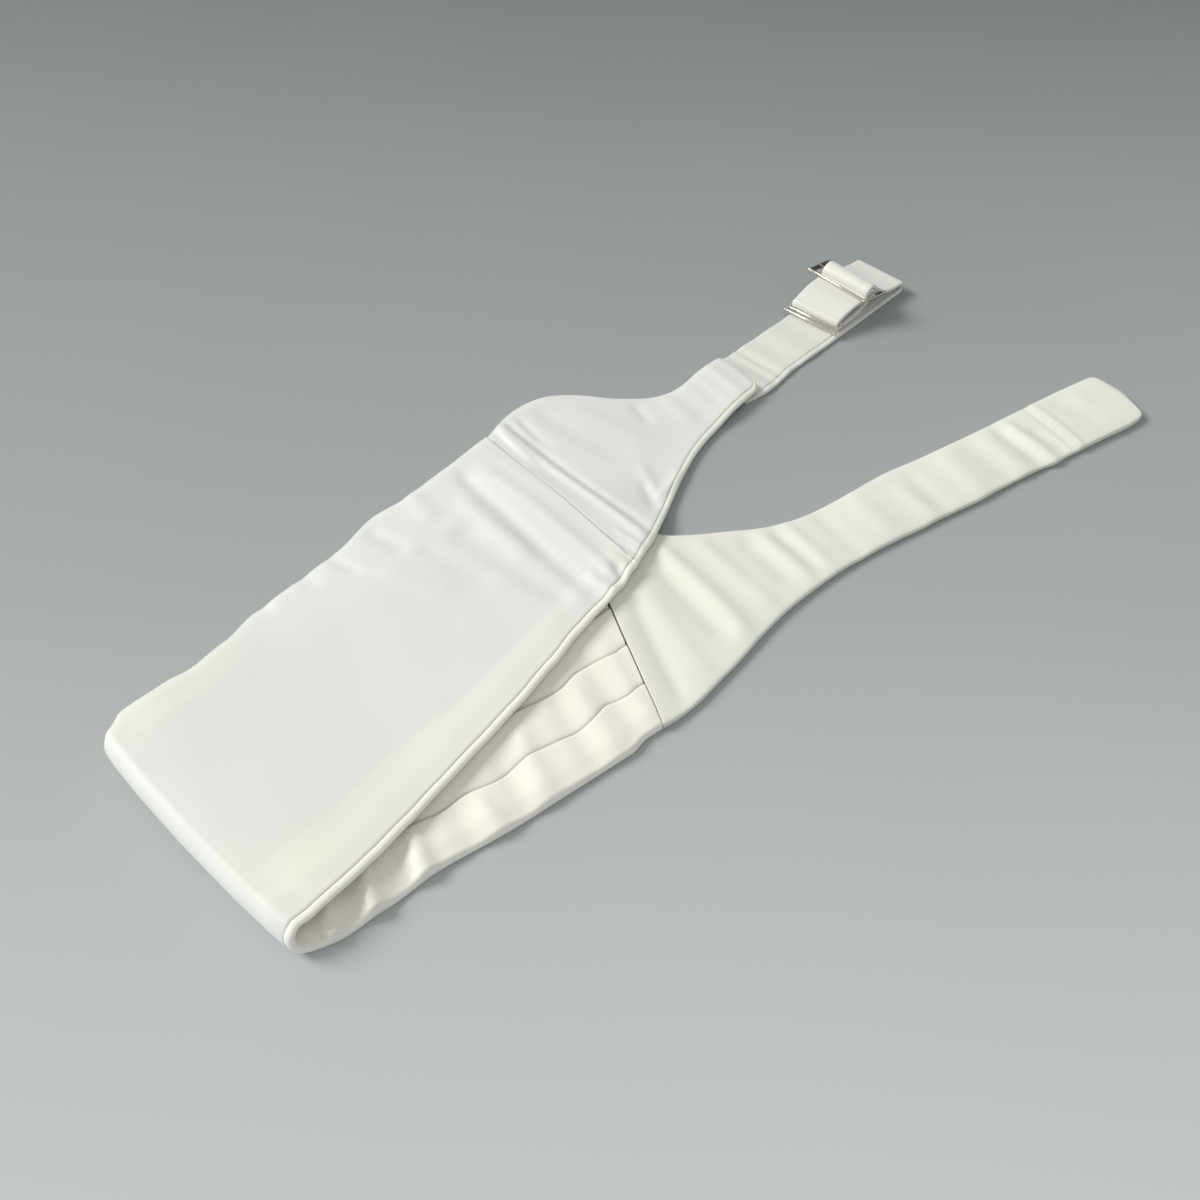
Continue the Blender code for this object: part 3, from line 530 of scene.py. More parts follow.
Term = Union[Wire, float]


@dataclass
class Graph:
    """A material's node tree."""

    material: bpy.types.Material

    @classmethod
    def new(cls, name: str) -> "Graph":
        """A new material with an empty tree."""
        material = bpy.data.materials.new(name)
        material.use_nodes = True
        material.node_tree.nodes.clear()
        return cls(material)

    def node(self, kind: str, settings: Optional[dict] = None, values: Optional[dict] = None) -> bpy.types.Node:
        """Add a node.

        Args:
            kind: The node's type.
            settings: Attributes of the node, set first.
            values: Socket names or numbers, with a value or a wire for each.

        Returns:
            The new node.
        """
        made = self.material.node_tree.nodes.new(kind)
        for key, value in (settings or {}).items():
            if key == "stops":
                for stop, (place, colour) in zip(made.color_ramp.elements, value):
                    stop.position = place
                    stop.color = colour
            else:
                setattr(made, key, value)
        for key, value in (values or {}).items():
            if isinstance(value, Wire):
                self.material.node_tree.links.new(value.socket, made.inputs[key])
            else:
                made.inputs[key].default_value = value
        return made

    def wire(self, node: bpy.types.Node, output: Union[str, int] = 0) -> Wire:
        """A node's output as a wire."""
        return Wire(self, node.outputs[output])

    def math(self, operation: str, first: Term, second: Term) -> Wire:
        """A Math node of two terms."""
        return self.wire(self.node("ShaderNodeMath", {"operation": operation}, {0: first, 1: second}))

    def blend(self, share: Term, first: Union[Wire, tuple], second: Union[Wire, tuple]) -> Wire:
        """A colour between two colours."""
        made = self.node("ShaderNodeMix", {"data_type": "RGBA"}, {0: share, 6: first, 7: second})
        return self.wire(made, 2)

    def noise(self, vector: Wire, scale: float, detail: float) -> Wire:
        """Noise about a vector, from 0 to 1."""
        values = {"Vector": vector, "Scale": scale, "Detail": detail, "Roughness": 0.55}
        return self.wire(self.node("ShaderNodeTexNoise", None, values), "Fac")

    def stretched(self, vector: Wire, scale: tuple) -> Wire:
        """A vector multiplied by a scale."""
        made = self.node("ShaderNodeVectorMath", {"operation": "MULTIPLY"}, {0: vector, 1: scale})
        return self.wire(made)

    def finish(self, values: dict) -> bpy.types.Material:
        """Close the tree with a Principled shader.

        Args:
            values: The shader's sockets.

        Returns:
            The material.
        """
        shader = self.node("ShaderNodeBsdfPrincipled", None, values)
        self.node("ShaderNodeOutputMaterial", None, {"Surface": self.wire(shader)})
        return self.material


@dataclass(frozen=True)
class Satin:
    """Woven satin: a cool shade, a warm shade, how much it shines, and the colour and strength of the painted shade
    along its seams and pleat lines.
    """

    name: str
    cool: tuple
    warm: tuple
    roughness: float
    sheen: float = 0.25
    sheen_roughness: float = 0.45
    specular: float = 0.35
    cloud_scale: float = 24.0
    thread_scale: tuple = (2600.0, 340.0, 1.0)
    float_scale: tuple = (420.0, 2100.0, 1.0)
    # Painted shade along seams and pleat lines: its colour and how strongly it is mixed in.
    seam_shade_colour: tuple = (0.46, 0.43, 0.38, 1.0)
    seam_shade_depth: float = 0.55
    bump: float = 0.22
    bump_height: float = 0.00006

    def build(self) -> bpy.types.Material:
        """The material, with its weave in the piece's own UV map."""
        graph = Graph.new(self.name)
        weave = graph.wire(graph.node("ShaderNodeUVMap", {"uv_map": "weave"}))
        tone = graph.wire(graph.node("ShaderNodeAttribute", {"attribute_name": "warmth"}), "Fac")
        cloud = graph.noise(weave, self.cloud_scale, 3.0)
        threads = graph.noise(graph.stretched(weave, self.thread_scale), 1.0, 2.0)
        floats = graph.noise(graph.stretched(weave, self.float_scale), 1.0, 1.0)
        colour = graph.blend(tone + (cloud - 0.5) * 0.5, (*self.cool, 1.0), (*self.warm, 1.0))
        # The shade attribute is painted shade in the seam and pleat grooves; it is mixed over the weave's own thread
        # tone.
        line = graph.wire(graph.node("ShaderNodeAttribute", {"attribute_name": "shade"}), "Fac")
        threads_and_painted_shade = graph.blend((threads - 0.5) * 0.16 + line * self.seam_shade_depth, colour, self.seam_shade_colour)
        rough = (cloud - 0.5) * 0.12 + (threads - 0.5) * 0.08 + self.roughness
        height = threads * 0.7 + floats * 0.3
        values = {"Height": height, "Strength": self.bump, "Distance": self.bump_height}
        bump = graph.wire(graph.node("ShaderNodeBump", None, values))
        return graph.finish(
            {
                "Base Color": threads_and_painted_shade,
                "Roughness": rough,
                "Normal": bump,
                "Specular IOR Level": self.specular,
                "Sheen Weight": self.sheen,
                "Sheen Roughness": self.sheen_roughness,
            }
        )


@dataclass(frozen=True)
class Thread:
    """Sewing thread."""

    name: str
    colour: tuple

    def build(self) -> bpy.types.Material:
        """The material."""
        graph = Graph.new(self.name)
        place = graph.wire(graph.node("ShaderNodeTexCoord"), "Object")
        fibre = graph.noise(place, 5200.0, 2.0)
        colour = graph.blend(fibre, (*self.colour, 1.0), tuple(0.86 * part for part in self.colour) + (1.0,))
        bump = graph.wire(graph.node("ShaderNodeBump", None, {"Height": fibre, "Strength": 0.3, "Distance": 0.0001}))
        return graph.finish({"Base Color": colour, "Roughness": fibre * 0.2 + 0.5, "Normal": bump})


@dataclass(frozen=True)
class Metal:
    """Polished metal with light wear."""

    name: str
    colour: tuple
    roughness: float

    def build(self) -> bpy.types.Material:
        """The material."""
        graph = Graph.new(self.name)
        place = graph.wire(graph.node("ShaderNodeTexCoord"), "Object")
        wear = graph.noise(place, 420.0, 4.0)
        scratch = graph.noise(graph.stretched(place, (900.0, 300.0, 900.0)), 1.0, 2.0)
        dull = tuple(0.82 * part for part in self.colour)
        colour = graph.blend(wear * 0.35, (*self.colour, 1.0), (*dull, 1.0))
        rough = (wear - 0.5) * 0.12 + (scratch - 0.5) * 0.08 + self.roughness
        values = {"Height": scratch, "Strength": 0.02, "Distance": 0.00001}
        bump = graph.wire(graph.node("ShaderNodeBump", None, values))
        return graph.finish({"Base Color": colour, "Roughness": rough, "Metallic": 1.0, "Normal": bump})


@dataclass(frozen=True)
class Table:
    """A pale matt table top, with painted light: its colour gets lighter towards the near side and darker towards the
    far side.
    """

    name: str
    tint: tuple
    middle: float = 0.445
    near_painted_light: float = 0.72
    far_painted_shade: float = 0.31
    turn: float = -0.04

    def build(self) -> bpy.types.Material:
        """The material, with painted light grading its colour from the far side of the table to the near side."""
        graph = Graph.new(self.name)
        place = graph.wire(graph.node("ShaderNodeTexCoord"), "Object")
        parts = graph.node("ShaderNodeSeparateXYZ", None, {"Vector": place})
        side = graph.wire(parts, "X") * 0.707 + graph.wire(parts, "Y") * 0.707 - self.turn
        near = graph.math("MINIMUM", graph.math("MAXIMUM", 0.0 - side, 0.0), 0.3)
        far = graph.math("MINIMUM", graph.math("MAXIMUM", side, 0.0), 0.7)
        patch = (graph.noise(place, 4.0, 2.0) - 0.5) * 0.03
        grain = graph.noise(place, 900.0, 2.0)
        # Painted light: lighter towards the near side, darker towards the far side, with faint random patches and
        # grain.
        value = near * self.near_painted_light - far * self.far_painted_shade + patch + (grain - 0.5) * 0.01 + self.middle
        colour = graph.node("ShaderNodeVectorMath", {"operation": "SCALE"}, {0: self.tint, "Scale": value})
        bump = graph.wire(graph.node("ShaderNodeBump", None, {"Height": grain, "Strength": 0.05, "Distance": 0.0002}))
        values = {"Base Color": graph.wire(colour), "Roughness": grain * 0.1 + 0.65, "Normal": bump}
        return graph.finish({**values, "Specular IOR Level": 0.3})


@dataclass(frozen=True)
class Finishes:
    """Every material of the scene."""

    back: bpy.types.Material
    front: bpy.types.Material
    band: bpy.types.Material
    band_back: bpy.types.Material
    strap: bpy.types.Material
    thread: bpy.types.Material
    metal: bpy.types.Material

    @classmethod
    def make(cls) -> "Finishes":
        """Build the materials once."""
        return cls(
            back=Satin("lining_satin", (0.85, 0.855, 0.83), (0.94, 0.935, 0.84), 0.5).build(),
            front=Satin("pleat_satin", (0.98, 0.95, 0.86), (1.0, 0.985, 0.905), 0.36).build(),
            band=Satin("band_satin", (0.86, 0.86, 0.775), (0.93, 0.92, 0.84), 0.38).build(),
            band_back=Satin("band_back_satin", (0.805, 0.81, 0.775), (0.9, 0.9, 0.85), 0.42).build(),
            strap=Satin("strap_satin", (0.79, 0.785, 0.735), (0.87, 0.86, 0.795), 0.42).build(),
            thread=Thread("sewing_thread", (0.78, 0.76, 0.7)).build(),
            metal=Metal("polished_nickel", (0.8, 0.755, 0.68), 0.26).build(),
        )


def declare(
    made: bpy.types.Object, nodes: Sequence[str]
) -> None:
    """Args:
        made: The piece.
        nodes: The plain solids that it takes the place of.
    """
    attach(made, "root")
    if nodes:
        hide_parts(*nodes)
    log.info("%s: %d triangles", made.name, sum(len(face.vertices) - 2 for face in made.data.polygons))


@dataclass
class Body:
    """The folded body: a plain back panel outside and a pleated front inside."""

    finishes: Finishes
    lower_rows: int = 70
    fold_rows: int = 44
    upper_rows: int = 130
    back_columns: int = 84
    pillow: float = 0.3
    pinch: float = 0.4
    crinkle: float = 0.22
    inside: float = 1.1
    seam_rows: tuple = (4.5, 3.0, 2.0, 1.3, 0.8, 0.4, 0.0)
    seam_reach: float = 7.0
    half_length: float = 225.0
    waves: tuple = ((0.0, 0.0), (0.9, 0.3), (0.9, 2.1), (0.8, 4.0), (0.8, 5.2), (0.8, 1.2), (0.0, 0.0))

    def shares(self, count: int) -> np.ndarray:
        """Shares of the way to a seam, closer together at the seam."""
        close = 1.0 - np.array(self.seam_rows) / self.half_length
        return np.concatenate((np.linspace(0.0, 1.0 - self.seam_reach / self.half_length, count), close))

    def runs(self, across: np.ndarray) -> np.ndarray:
        """The runs of every row at places across the strip.

        Args:
            across: One place for each column.

        Returns:
            Rows by columns of runs from the fold.
        """
        lower_end = -seam_run(across, LOWER_SEAM) + SEAM_GAP
        upper_end = seam_run(across, UPPER_SEAM) - SEAM_GAP
        lower_share = self.shares(self.lower_rows)[::-1, None]
        upper_share = self.shares(self.upper_rows)[:, None]
        fold = np.linspace(-QUARTER, QUARTER, self.fold_rows)[1:-1, None] * np.ones_like(across)
        lower = mix(-QUARTER, lower_end, lower_share)
        upper = mix(QUARTER, upper_end, upper_share)
        return np.concatenate((lower, fold, upper))

    def seam_distance(self, run: np.ndarray, across: np.ndarray) -> np.ndarray:
        """The distance along the strip to the nearer band seam."""
        return np.minimum(run + seam_run(across, LOWER_SEAM), seam_run(across, UPPER_SEAM) - run)

    def back_panel(self) -> bpy.types.Object:
        """The plain back panel."""
        rim = np.array((0.0, 0.3, 0.7, 1.2, 1.9, 3.0))
        part = np.linspace(0.0, 1.0, self.back_columns + 2)[1:-1]
        blank = np.zeros(self.back_columns)
        share = np.concatenate((np.zeros(len(rim)), part, np.ones(len(rim))))
        offset = np.concatenate((NEAR_RIM + rim, blank, -FAR_RIM - rim[::-1]))
        run = self.runs(mix(BODY_NEAR, BODY_FAR, share) + offset)
        near, far = strip_edges(run)
        low, high = near + NEAR_RIM, far - FAR_RIM
        middle = mix(low + rim[-1], high - rim[-1], share)
        across = np.where(offset == 0.0, middle, mix(near, far, share) + offset)
        edge = np.minimum(across - low, high - across)
        seam = self.seam_distance(run, across)
        past_fold = smooth(run / 12.0)
        pillow = self.pillow * hill(across - low - 9.0, 6.0) * past_fold
        roll = 0.45 * hill(high - across, 2.4) + eased(across - low, 0.35, 0.5) + eased(seam, 0.4, 0.7)
        fold_end = hill(run - 4.5, 2.4) - 0.7 * hill(run + 2.0, 2.6)
        pinch = self.pinch * hill(across - low, 3.6) * fold_end
        corner = np.exp(-(((across - low) / 9.0) ** 2) - (seam / 22.0) ** 2)
        crinkle = self.crinkle * corner * np.sin(run / 1.7 + 1.3 * np.sin(run / 5.0)) * past_fold
        outer = body_points(run, across, roll - pillow + pinch - crinkle)
        inner = body_points(run, across, np.full_like(run, self.inside))
        # Painted shade: darker lines in the grooves beside the near rim and at the band seams.
        shade = 0.7 * eased(across - low, 1.0, 0.45) + 0.8 * eased(seam, 1.0, 0.45)
        warmth = self.lining_tone_and_painted_light(run, across, edge)
        return Shell("back_panel_satin", outer, inner, across, run, warmth, shade).build(self.finishes.back)

    def lining_tone_and_painted_light(self, run: np.ndarray, across: np.ndarray, edge: np.ndarray) -> np.ndarray:
        """The lining's tone and its painted light: lighter, warmer stripes over the turned edges inside it, where the
        cloth slopes; painted lighter towards the fold and darker on the fold's own face; and warmer near the seam.
        """
        near_width = 21.0 - 9.0 * smooth((run - 40.0) / 130.0)
        far_width = 9.0 + 3.0 * np.sin(run / 23.0)
        beside = np.where(across < 0.0, near_width, far_width) + 1.2 * ripple(run, across, 0.2)
        # Painted light: lighter, warmer stripes over the turned edges, where the lining slopes.
        stripes = 1.0 - smooth((edge - beside) / 7.0)
        fade = smooth((run - 9.0) / 14.0) * (1.0 - 0.6 * smooth((run - 150.0) / 50.0))
        fade = fade * np.where(across < 0.0, 1.0, 1.0 - 0.85 * smooth((run - 25.0) / 60.0))
        seam = hill(seam_run(across, UPPER_SEAM) - run, 9.0)
        # Painted light: lighter near the fold, fading along the run, over a little random tone.
        bright = 0.1 + 0.35 * (1.0 - smooth(run / 130.0)) + 0.06 * ripple(run, across, 2.7)
        # Painted shade: the painted light is cut away on the fold's own face.
        return np.clip(bright * smooth((run + 2.0) / 14.0) + 0.6 * stripes * fade + 0.25 * seam, 0.0, 1.0)

    def pleat_profile(self) -> tuple:
        """The front's columns: line number, share to the next, offset, depth, inner offset and depth, painted shade.
        """
        top = BODY_THICKNESS
        columns = [(0.0, 0.0, *outside, *inside, 0.0) for outside, inside in zip(NEAR_OUTSIDE, NEAR_INSIDE)]
        # The first column, in the groove beside the near rim, gets painted shade.
        columns[0] = (*columns[0][:6], 0.8)
        columns.append((0.0, 0.0, 0.9, PLEAT_LOW + 0.1, 1.4, 2.3, 0.0))
        # Each crevice point: offset from the pleat line, depth and painted shade in the crevice.
        crevice = ((-1.2, top, 0.0), (-0.5, top - 0.1, 0.0), (-0.12, top - 0.4, 0.3), (0.02, top - 1.0, 1.0))
        crevice += ((0.12, 2.7, 1.0), (0.75, 2.9, 1.0), (1.15, 3.25, 0.45), (1.9, 3.45, 0.0))
        for pleat in range(PLEAT_COUNT):
            for share in np.linspace(0.12, 0.9, 10):
                depth = mix(PLEAT_LOW + 0.2, top, math.sin(0.5 * math.pi * share) ** 0.8)
                if pleat == 0:
                    depth = mix(PLEAT_LOW + 0.1, top, smooth(share * 2.2))
                if pleat == PLEAT_COUNT - 1:
                    depth = mix(PLEAT_LOW + 0.1, top, 0.7 * math.sin(math.pi * share))
                columns.append((float(pleat), share, 0.0, depth, 0.0, depth - SHELL, 0.0))
            if pleat < PLEAT_COUNT - 1:
                columns += [(pleat + 1.0, 0.0, *spot[:2], spot[0], 2.0, spot[2]) for spot in crevice]
        last = float(PLEAT_COUNT)
        columns.append((last, 0.0, -0.9, PLEAT_LOW, -1.4, 2.3, 0.0))
        pairs = reversed(list(zip(FAR_OUTSIDE, FAR_INSIDE)))
        columns += [(last, 0.0, -out[0], out[1], -within[0], within[1], 0.0) for out, within in pairs]
        return tuple(np.array(column) for column in zip(*columns))

    def pleat_lines(self, run: np.ndarray) -> np.ndarray:
        """How far each pleat line wanders across the strip at a run."""
        wander = [size * np.sin(run / 5.1 + turn + 0.8 * np.sin(run / 13.0 + turn)) for size, turn in self.waves]
        return np.stack(wander)

    def pleated_front(self) -> bpy.types.Object:
        """The pleated front, with its edges turned up round the back panel."""
        line, share, offset, depth, in_offset, in_depth, dark = self.pleat_profile()
        place = (line + share) / PLEAT_COUNT
        run = self.runs(mix(BODY_NEAR, BODY_FAR, place) + offset)
        near, far = strip_edges(run)
        wander = self.pleat_lines(run)
        low = np.minimum(line.astype(int), PLEAT_COUNT)
        high = np.minimum(low + 1, PLEAT_COUNT)
        columns = np.arange(len(line))
        shift = mix(wander[low, :, columns].T, wander[high, :, columns].T, share)
        fade = smooth((self.seam_distance(run, mix(near, far, place)) - 1.0) / 8.0)
        base = mix(near, far, place) + shift * fade
        across = base + offset
        sink = eased(self.seam_distance(run, across), 0.15, 0.5) * smooth((depth - 2.5) / 0.5)
        outer = body_points(run, across, depth - sink)
        inward = np.where(depth > 2.5, np.minimum(in_depth, depth - sink - 0.35), in_depth)
        inner = body_points(run, base + in_offset, inward)
        rim = (depth < PLEAT_LOW - 0.3) * (dark < 1.0)
        warmth = np.clip(0.35 + 0.3 * ripple(run, across, 1.4) - 0.2 * share + 0.9 * rim, 0.0, 1.0)
        # Painted shade in the pleat crevices, the near rim's groove and the band seams.
        shade = np.maximum(dark + 0.0 * run, 0.3 * eased(self.seam_distance(run, across), 1.0, 0.4))
        return Shell("pleated_front_satin", outer, inner, across, run, warmth, shade).build(self.finishes.front)

    def build(self) -> list:
        """Both pieces of the body."""
        back, front = self.back_panel(), self.pleated_front()
        declare(back, ["back_panel"])
        declare(front, ["pleated_front"])
        return [back, front]


@dataclass
class Band:
    """An end band: a front piece with turned edges and a back piece between them."""

    side: Side
    sections: np.ndarray
    creases: Sequence[Crease]
    finishes: Finishes
    rows: int
    columns: int
    front_cut: tuple
    back_cut: tuple
    corner: float = 5.0

    def widths(self, position: np.ndarray) -> np.ndarray:
        """The band's width at each row, as a column."""
        section = along_rows(self.sections, position)
        return np.linalg.norm(section[:, 2:] - section[:, :2], axis=1)[:, None]

    def points(self, position: np.ndarray, distance: np.ndarray, inward: np.ndarray) -> np.ndarray:
        """Points of the band, measured inwards from its back side.

        Args:
            position: Fractional rows of the section table, one for each row.
            distance: Distances from the near edge, rows by columns.
            inward: Depths, rows by columns.

        Returns:
            The points, rows by columns by three.
        """
        section = along_rows(self.sections, position)
        near, far = section[:, None, :2], section[:, None, 2:]
        width = self.widths(position)
        across = (far - near) / width[..., None]
        share = distance / width
        last = len(self.sections) - 1
        row = position[:, None]
        place = near + across * self.rounded(distance, width, self.lengths(position)[:, None])[..., None]
        x, y = place[..., 0], place[..., 1]
        bump = creased(x, y, self.creases) + BAND_RIPPLE * ripple(x, y, BAND_RIPPLE_SEED)
        crown = BAND_CROWN * 4.0 * share * (1.0 - share)
        if self.side is Side.UPPER:
            over = smooth((row - last + UNDERLAP_LEAD) / UNDERLAP_RISE)
            under = upper_underside(x, y) + STRAP_UNDERLAP * over
            top = under + BAND_THICKNESS + 0.5 * crown + bump - inward
            low = under + BAND_THICKNESS + np.maximum(bump, CREASE_FLOOR) - inward
            return np.stack((x, y, np.where(inward > 0.5 * BAND_THICKNESS, low, top)), -1)
        for middle, size, spread in TAIL_BUMPS:
            y = y - size * hill(x - middle, spread) * (1.0 - smooth(share * 3.0))
        hem = HEM_THICKNESS * smooth((row - HEM_SECTION) * 9.0)
        bow = TAIL_BOW * 4.0 * share * (1.0 - share) * smooth(row - last + 1.0)
        step = 0.8 * (1.0 - smooth(self.lengths(position)[:, None] / 16.0))
        lift = (crown + bump + hem + step) * smooth((inward - 1.6) / 1.0)
        return np.stack((x + across[..., 1] * bow, y - across[..., 0] * bow, inward + lift), -1)

    def rounded(self, distance: np.ndarray, width: np.ndarray, run: np.ndarray) -> np.ndarray:
        """Distances from the near edge, drawn in where the band's end has rounded corners.

        Args:
            distance: The distances, rows by columns.
            width: The width of each row.
            run: The run of each row.

        Returns:
            The drawn-in distances.
        """
        left = self.lengths(self.positions())[-1] - run
        short = np.clip(self.corner - left, 0.0, self.corner)
        pull = self.corner - np.sqrt(np.maximum(self.corner**2 - short**2, 0.0))
        return pull + distance * (width - 2.0 * pull) / width

    def positions(self) -> np.ndarray:
        """The rows' places in the section table, closer together at the seam and at the end."""
        last = float(len(self.sections) - 1)
        step = 12.0
        close = np.array((-0.2, 0.2, 0.6, 1.1, 1.9, 3.0)) / step
        middle = np.linspace(4.5 / step, last - 6.0 / step, self.rows)
        end = np.array((4.8, 3.9, 3.1, 2.4, 1.8, 1.2, 0.7, 0.3, 0.0)) / step
        return np.concatenate((close, middle, last - end))

    def lengths(self, position: np.ndarray) -> np.ndarray:
        """The run along the band's middle at each row."""
        section = along_rows(self.sections, position)
        middle = 0.5 * (section[:, :2] + section[:, 2:])
        steps = np.linalg.norm(np.diff(middle, axis=0), axis=1)
        return np.concatenate(((0.0,), np.cumsum(steps)))

    def spread(self, near: np.ndarray, far: np.ndarray, width: np.ndarray, turned: bool = False) -> np.ndarray:
        """Distances of columns that are set off from the near edge, spread evenly, and set off from the far one.

        Args:
            near: Offsets of the near columns.
            far: Offsets of the far columns, inwards from that edge.
            width: The width of each row.
            turned: Whether the even columns start beside the innermost column of a turned edge.

        Returns:
            The distances, rows by columns.
        """
        part = np.linspace(0.0, 1.0, self.columns + 2)[1:-1]
        low, high = (near[-1], far[0]) if turned else (near.max(), far.max())
        middle = mix(low, width - high, part[None, :])
        return np.concatenate((near[None, :] + 0.0 * width, middle, width - far[None, :]), axis=1)

    def front(self) -> bpy.types.Object:
        """The front piece: a shallow tray with turned edges."""
        lower = self.side is Side.LOWER
        near_out = np.array(FLAT_OUTSIDE + ((2.6, 3.2),) if lower else NEAR_OUTSIDE + ((0.9, 3.2),))
        near_in = np.array(FLAT_INSIDE + ((2.9, 2.3),) if lower else NEAR_INSIDE + ((1.6, 2.3),))
        far_out = near_out[::-1] if lower else np.array(FAR_OUTSIDE + ((0.9, 3.2),))[::-1]
        far_in = near_in[::-1] if lower else np.array(FAR_INSIDE + ((1.6, 2.3),))[::-1]
        flat = np.full(self.columns, BAND_THICKNESS)
        position = self.positions()
        width, run = self.widths(position), self.lengths(position)[:, None]
        distance = self.spread(near_out[:, 0], far_out[:, 0], width, not lower)
        in_distance = self.spread(near_in[:, 0], far_in[:, 0], width, not lower)
        depth = np.concatenate((near_out[:, 1], flat, far_out[:, 1])) + 0.0 * run
        in_depth = np.concatenate((near_in[:, 1], flat - SHELL, far_in[:, 1])) + 0.0 * run
        seam, left = run + 0.0 * depth, run[-1] - run + 0.0 * depth
        sink = eased(seam, 0.1, 0.5) * smooth((depth - 2.0) / 0.6)
        if lower:
            sink = sink + 1.1 * (1.0 - smooth(left / 2.6)) * smooth((depth - 1.0) / 1.0)
        outer = self.points(position, distance, depth - sink)
        inward = np.where(depth > 2.5, np.minimum(in_depth, depth - sink - 0.3), in_depth)
        inner = self.points(position, in_distance, inward)
        tone = ripple(outer[..., 0], outer[..., 1], 0.4)
        rim = 0.0 if lower else smooth((BAND_THICKNESS - 0.4 - depth) / 0.4)
        warmth = np.clip(0.35 + 0.3 * tone + 0.5 * rim, 0.0, 1.0)
        # Painted shade in the groove beside the near rim and at the band seam.
        line = eased(distance - NEAR_RIM, 0.7, 0.4) * (depth < 1.0) * (not lower)
        shade = np.maximum(0.3 * eased(seam, 1.0, 0.4), line)
        name = f"{self.side.value}_band_front_satin"
        return Shell(name, outer, inner, distance, seam, warmth, shade).build(self.finishes.band)

    def back(self) -> bpy.types.Object:
        """The back piece, between the turned edges."""
        rim = np.array((0.0, 0.3, 0.7, 1.3, 2.2))
        near, far = NEAR_RIM + rim, FAR_RIM + rim[::-1]
        if self.side is Side.LOWER:
            near, far = NEAR_RIM + 0.3 + rim, NEAR_RIM + 0.3 + rim[::-1]
        position = self.positions()
        width, run = self.widths(position), self.lengths(position)[:, None]
        distance = self.spread(near, far, width)
        seam, left = run + 0.0 * distance, run[-1] - run + 0.0 * distance
        edge, far_edge = distance - near[0], width - far[-1] - distance
        sink = eased(seam, 0.4, 0.7) + eased(edge, 0.35, 0.5) + 0.45 * hill(far_edge, 2.4)
        sink = sink + 0.5 * (1.0 - smooth(left / 2.5))
        if self.side is Side.LOWER:
            sink = 0.0 * sink
        outer = self.points(position, distance, sink)
        inner = self.points(position, distance, np.full_like(sink, 1.15))
        pressed = hill(seam - 9.0, 5.0) + hill(left - 14.0, 9.0)
        beside = hill(edge - 4.0, 6.0)
        tone = ripple(outer[..., 0], outer[..., 1], 1.1)
        warmth = np.clip(0.2 + 0.3 * beside + 0.3 * pressed + 0.2 * tone, 0.0, 1.0)
        # Painted shade in the grooves along the near edge and at the band seam.
        shade = 0.6 * eased(edge, 1.0, 0.4) + 0.8 * eased(seam, 1.0, 0.45)
        name = f"{self.side.value}_band_back_satin"
        return Shell(name, outer, inner, distance, seam, warmth, shade).build(self.finishes.band_back)

    def build(self) -> list:
        """Both pieces of the band."""
        front, back = self.front(), self.back()
        name = self.side.value
        declare(front, [f"{name}_band_front"])
        declare(back, [f"{name}_band_back"])
        return [front, back]


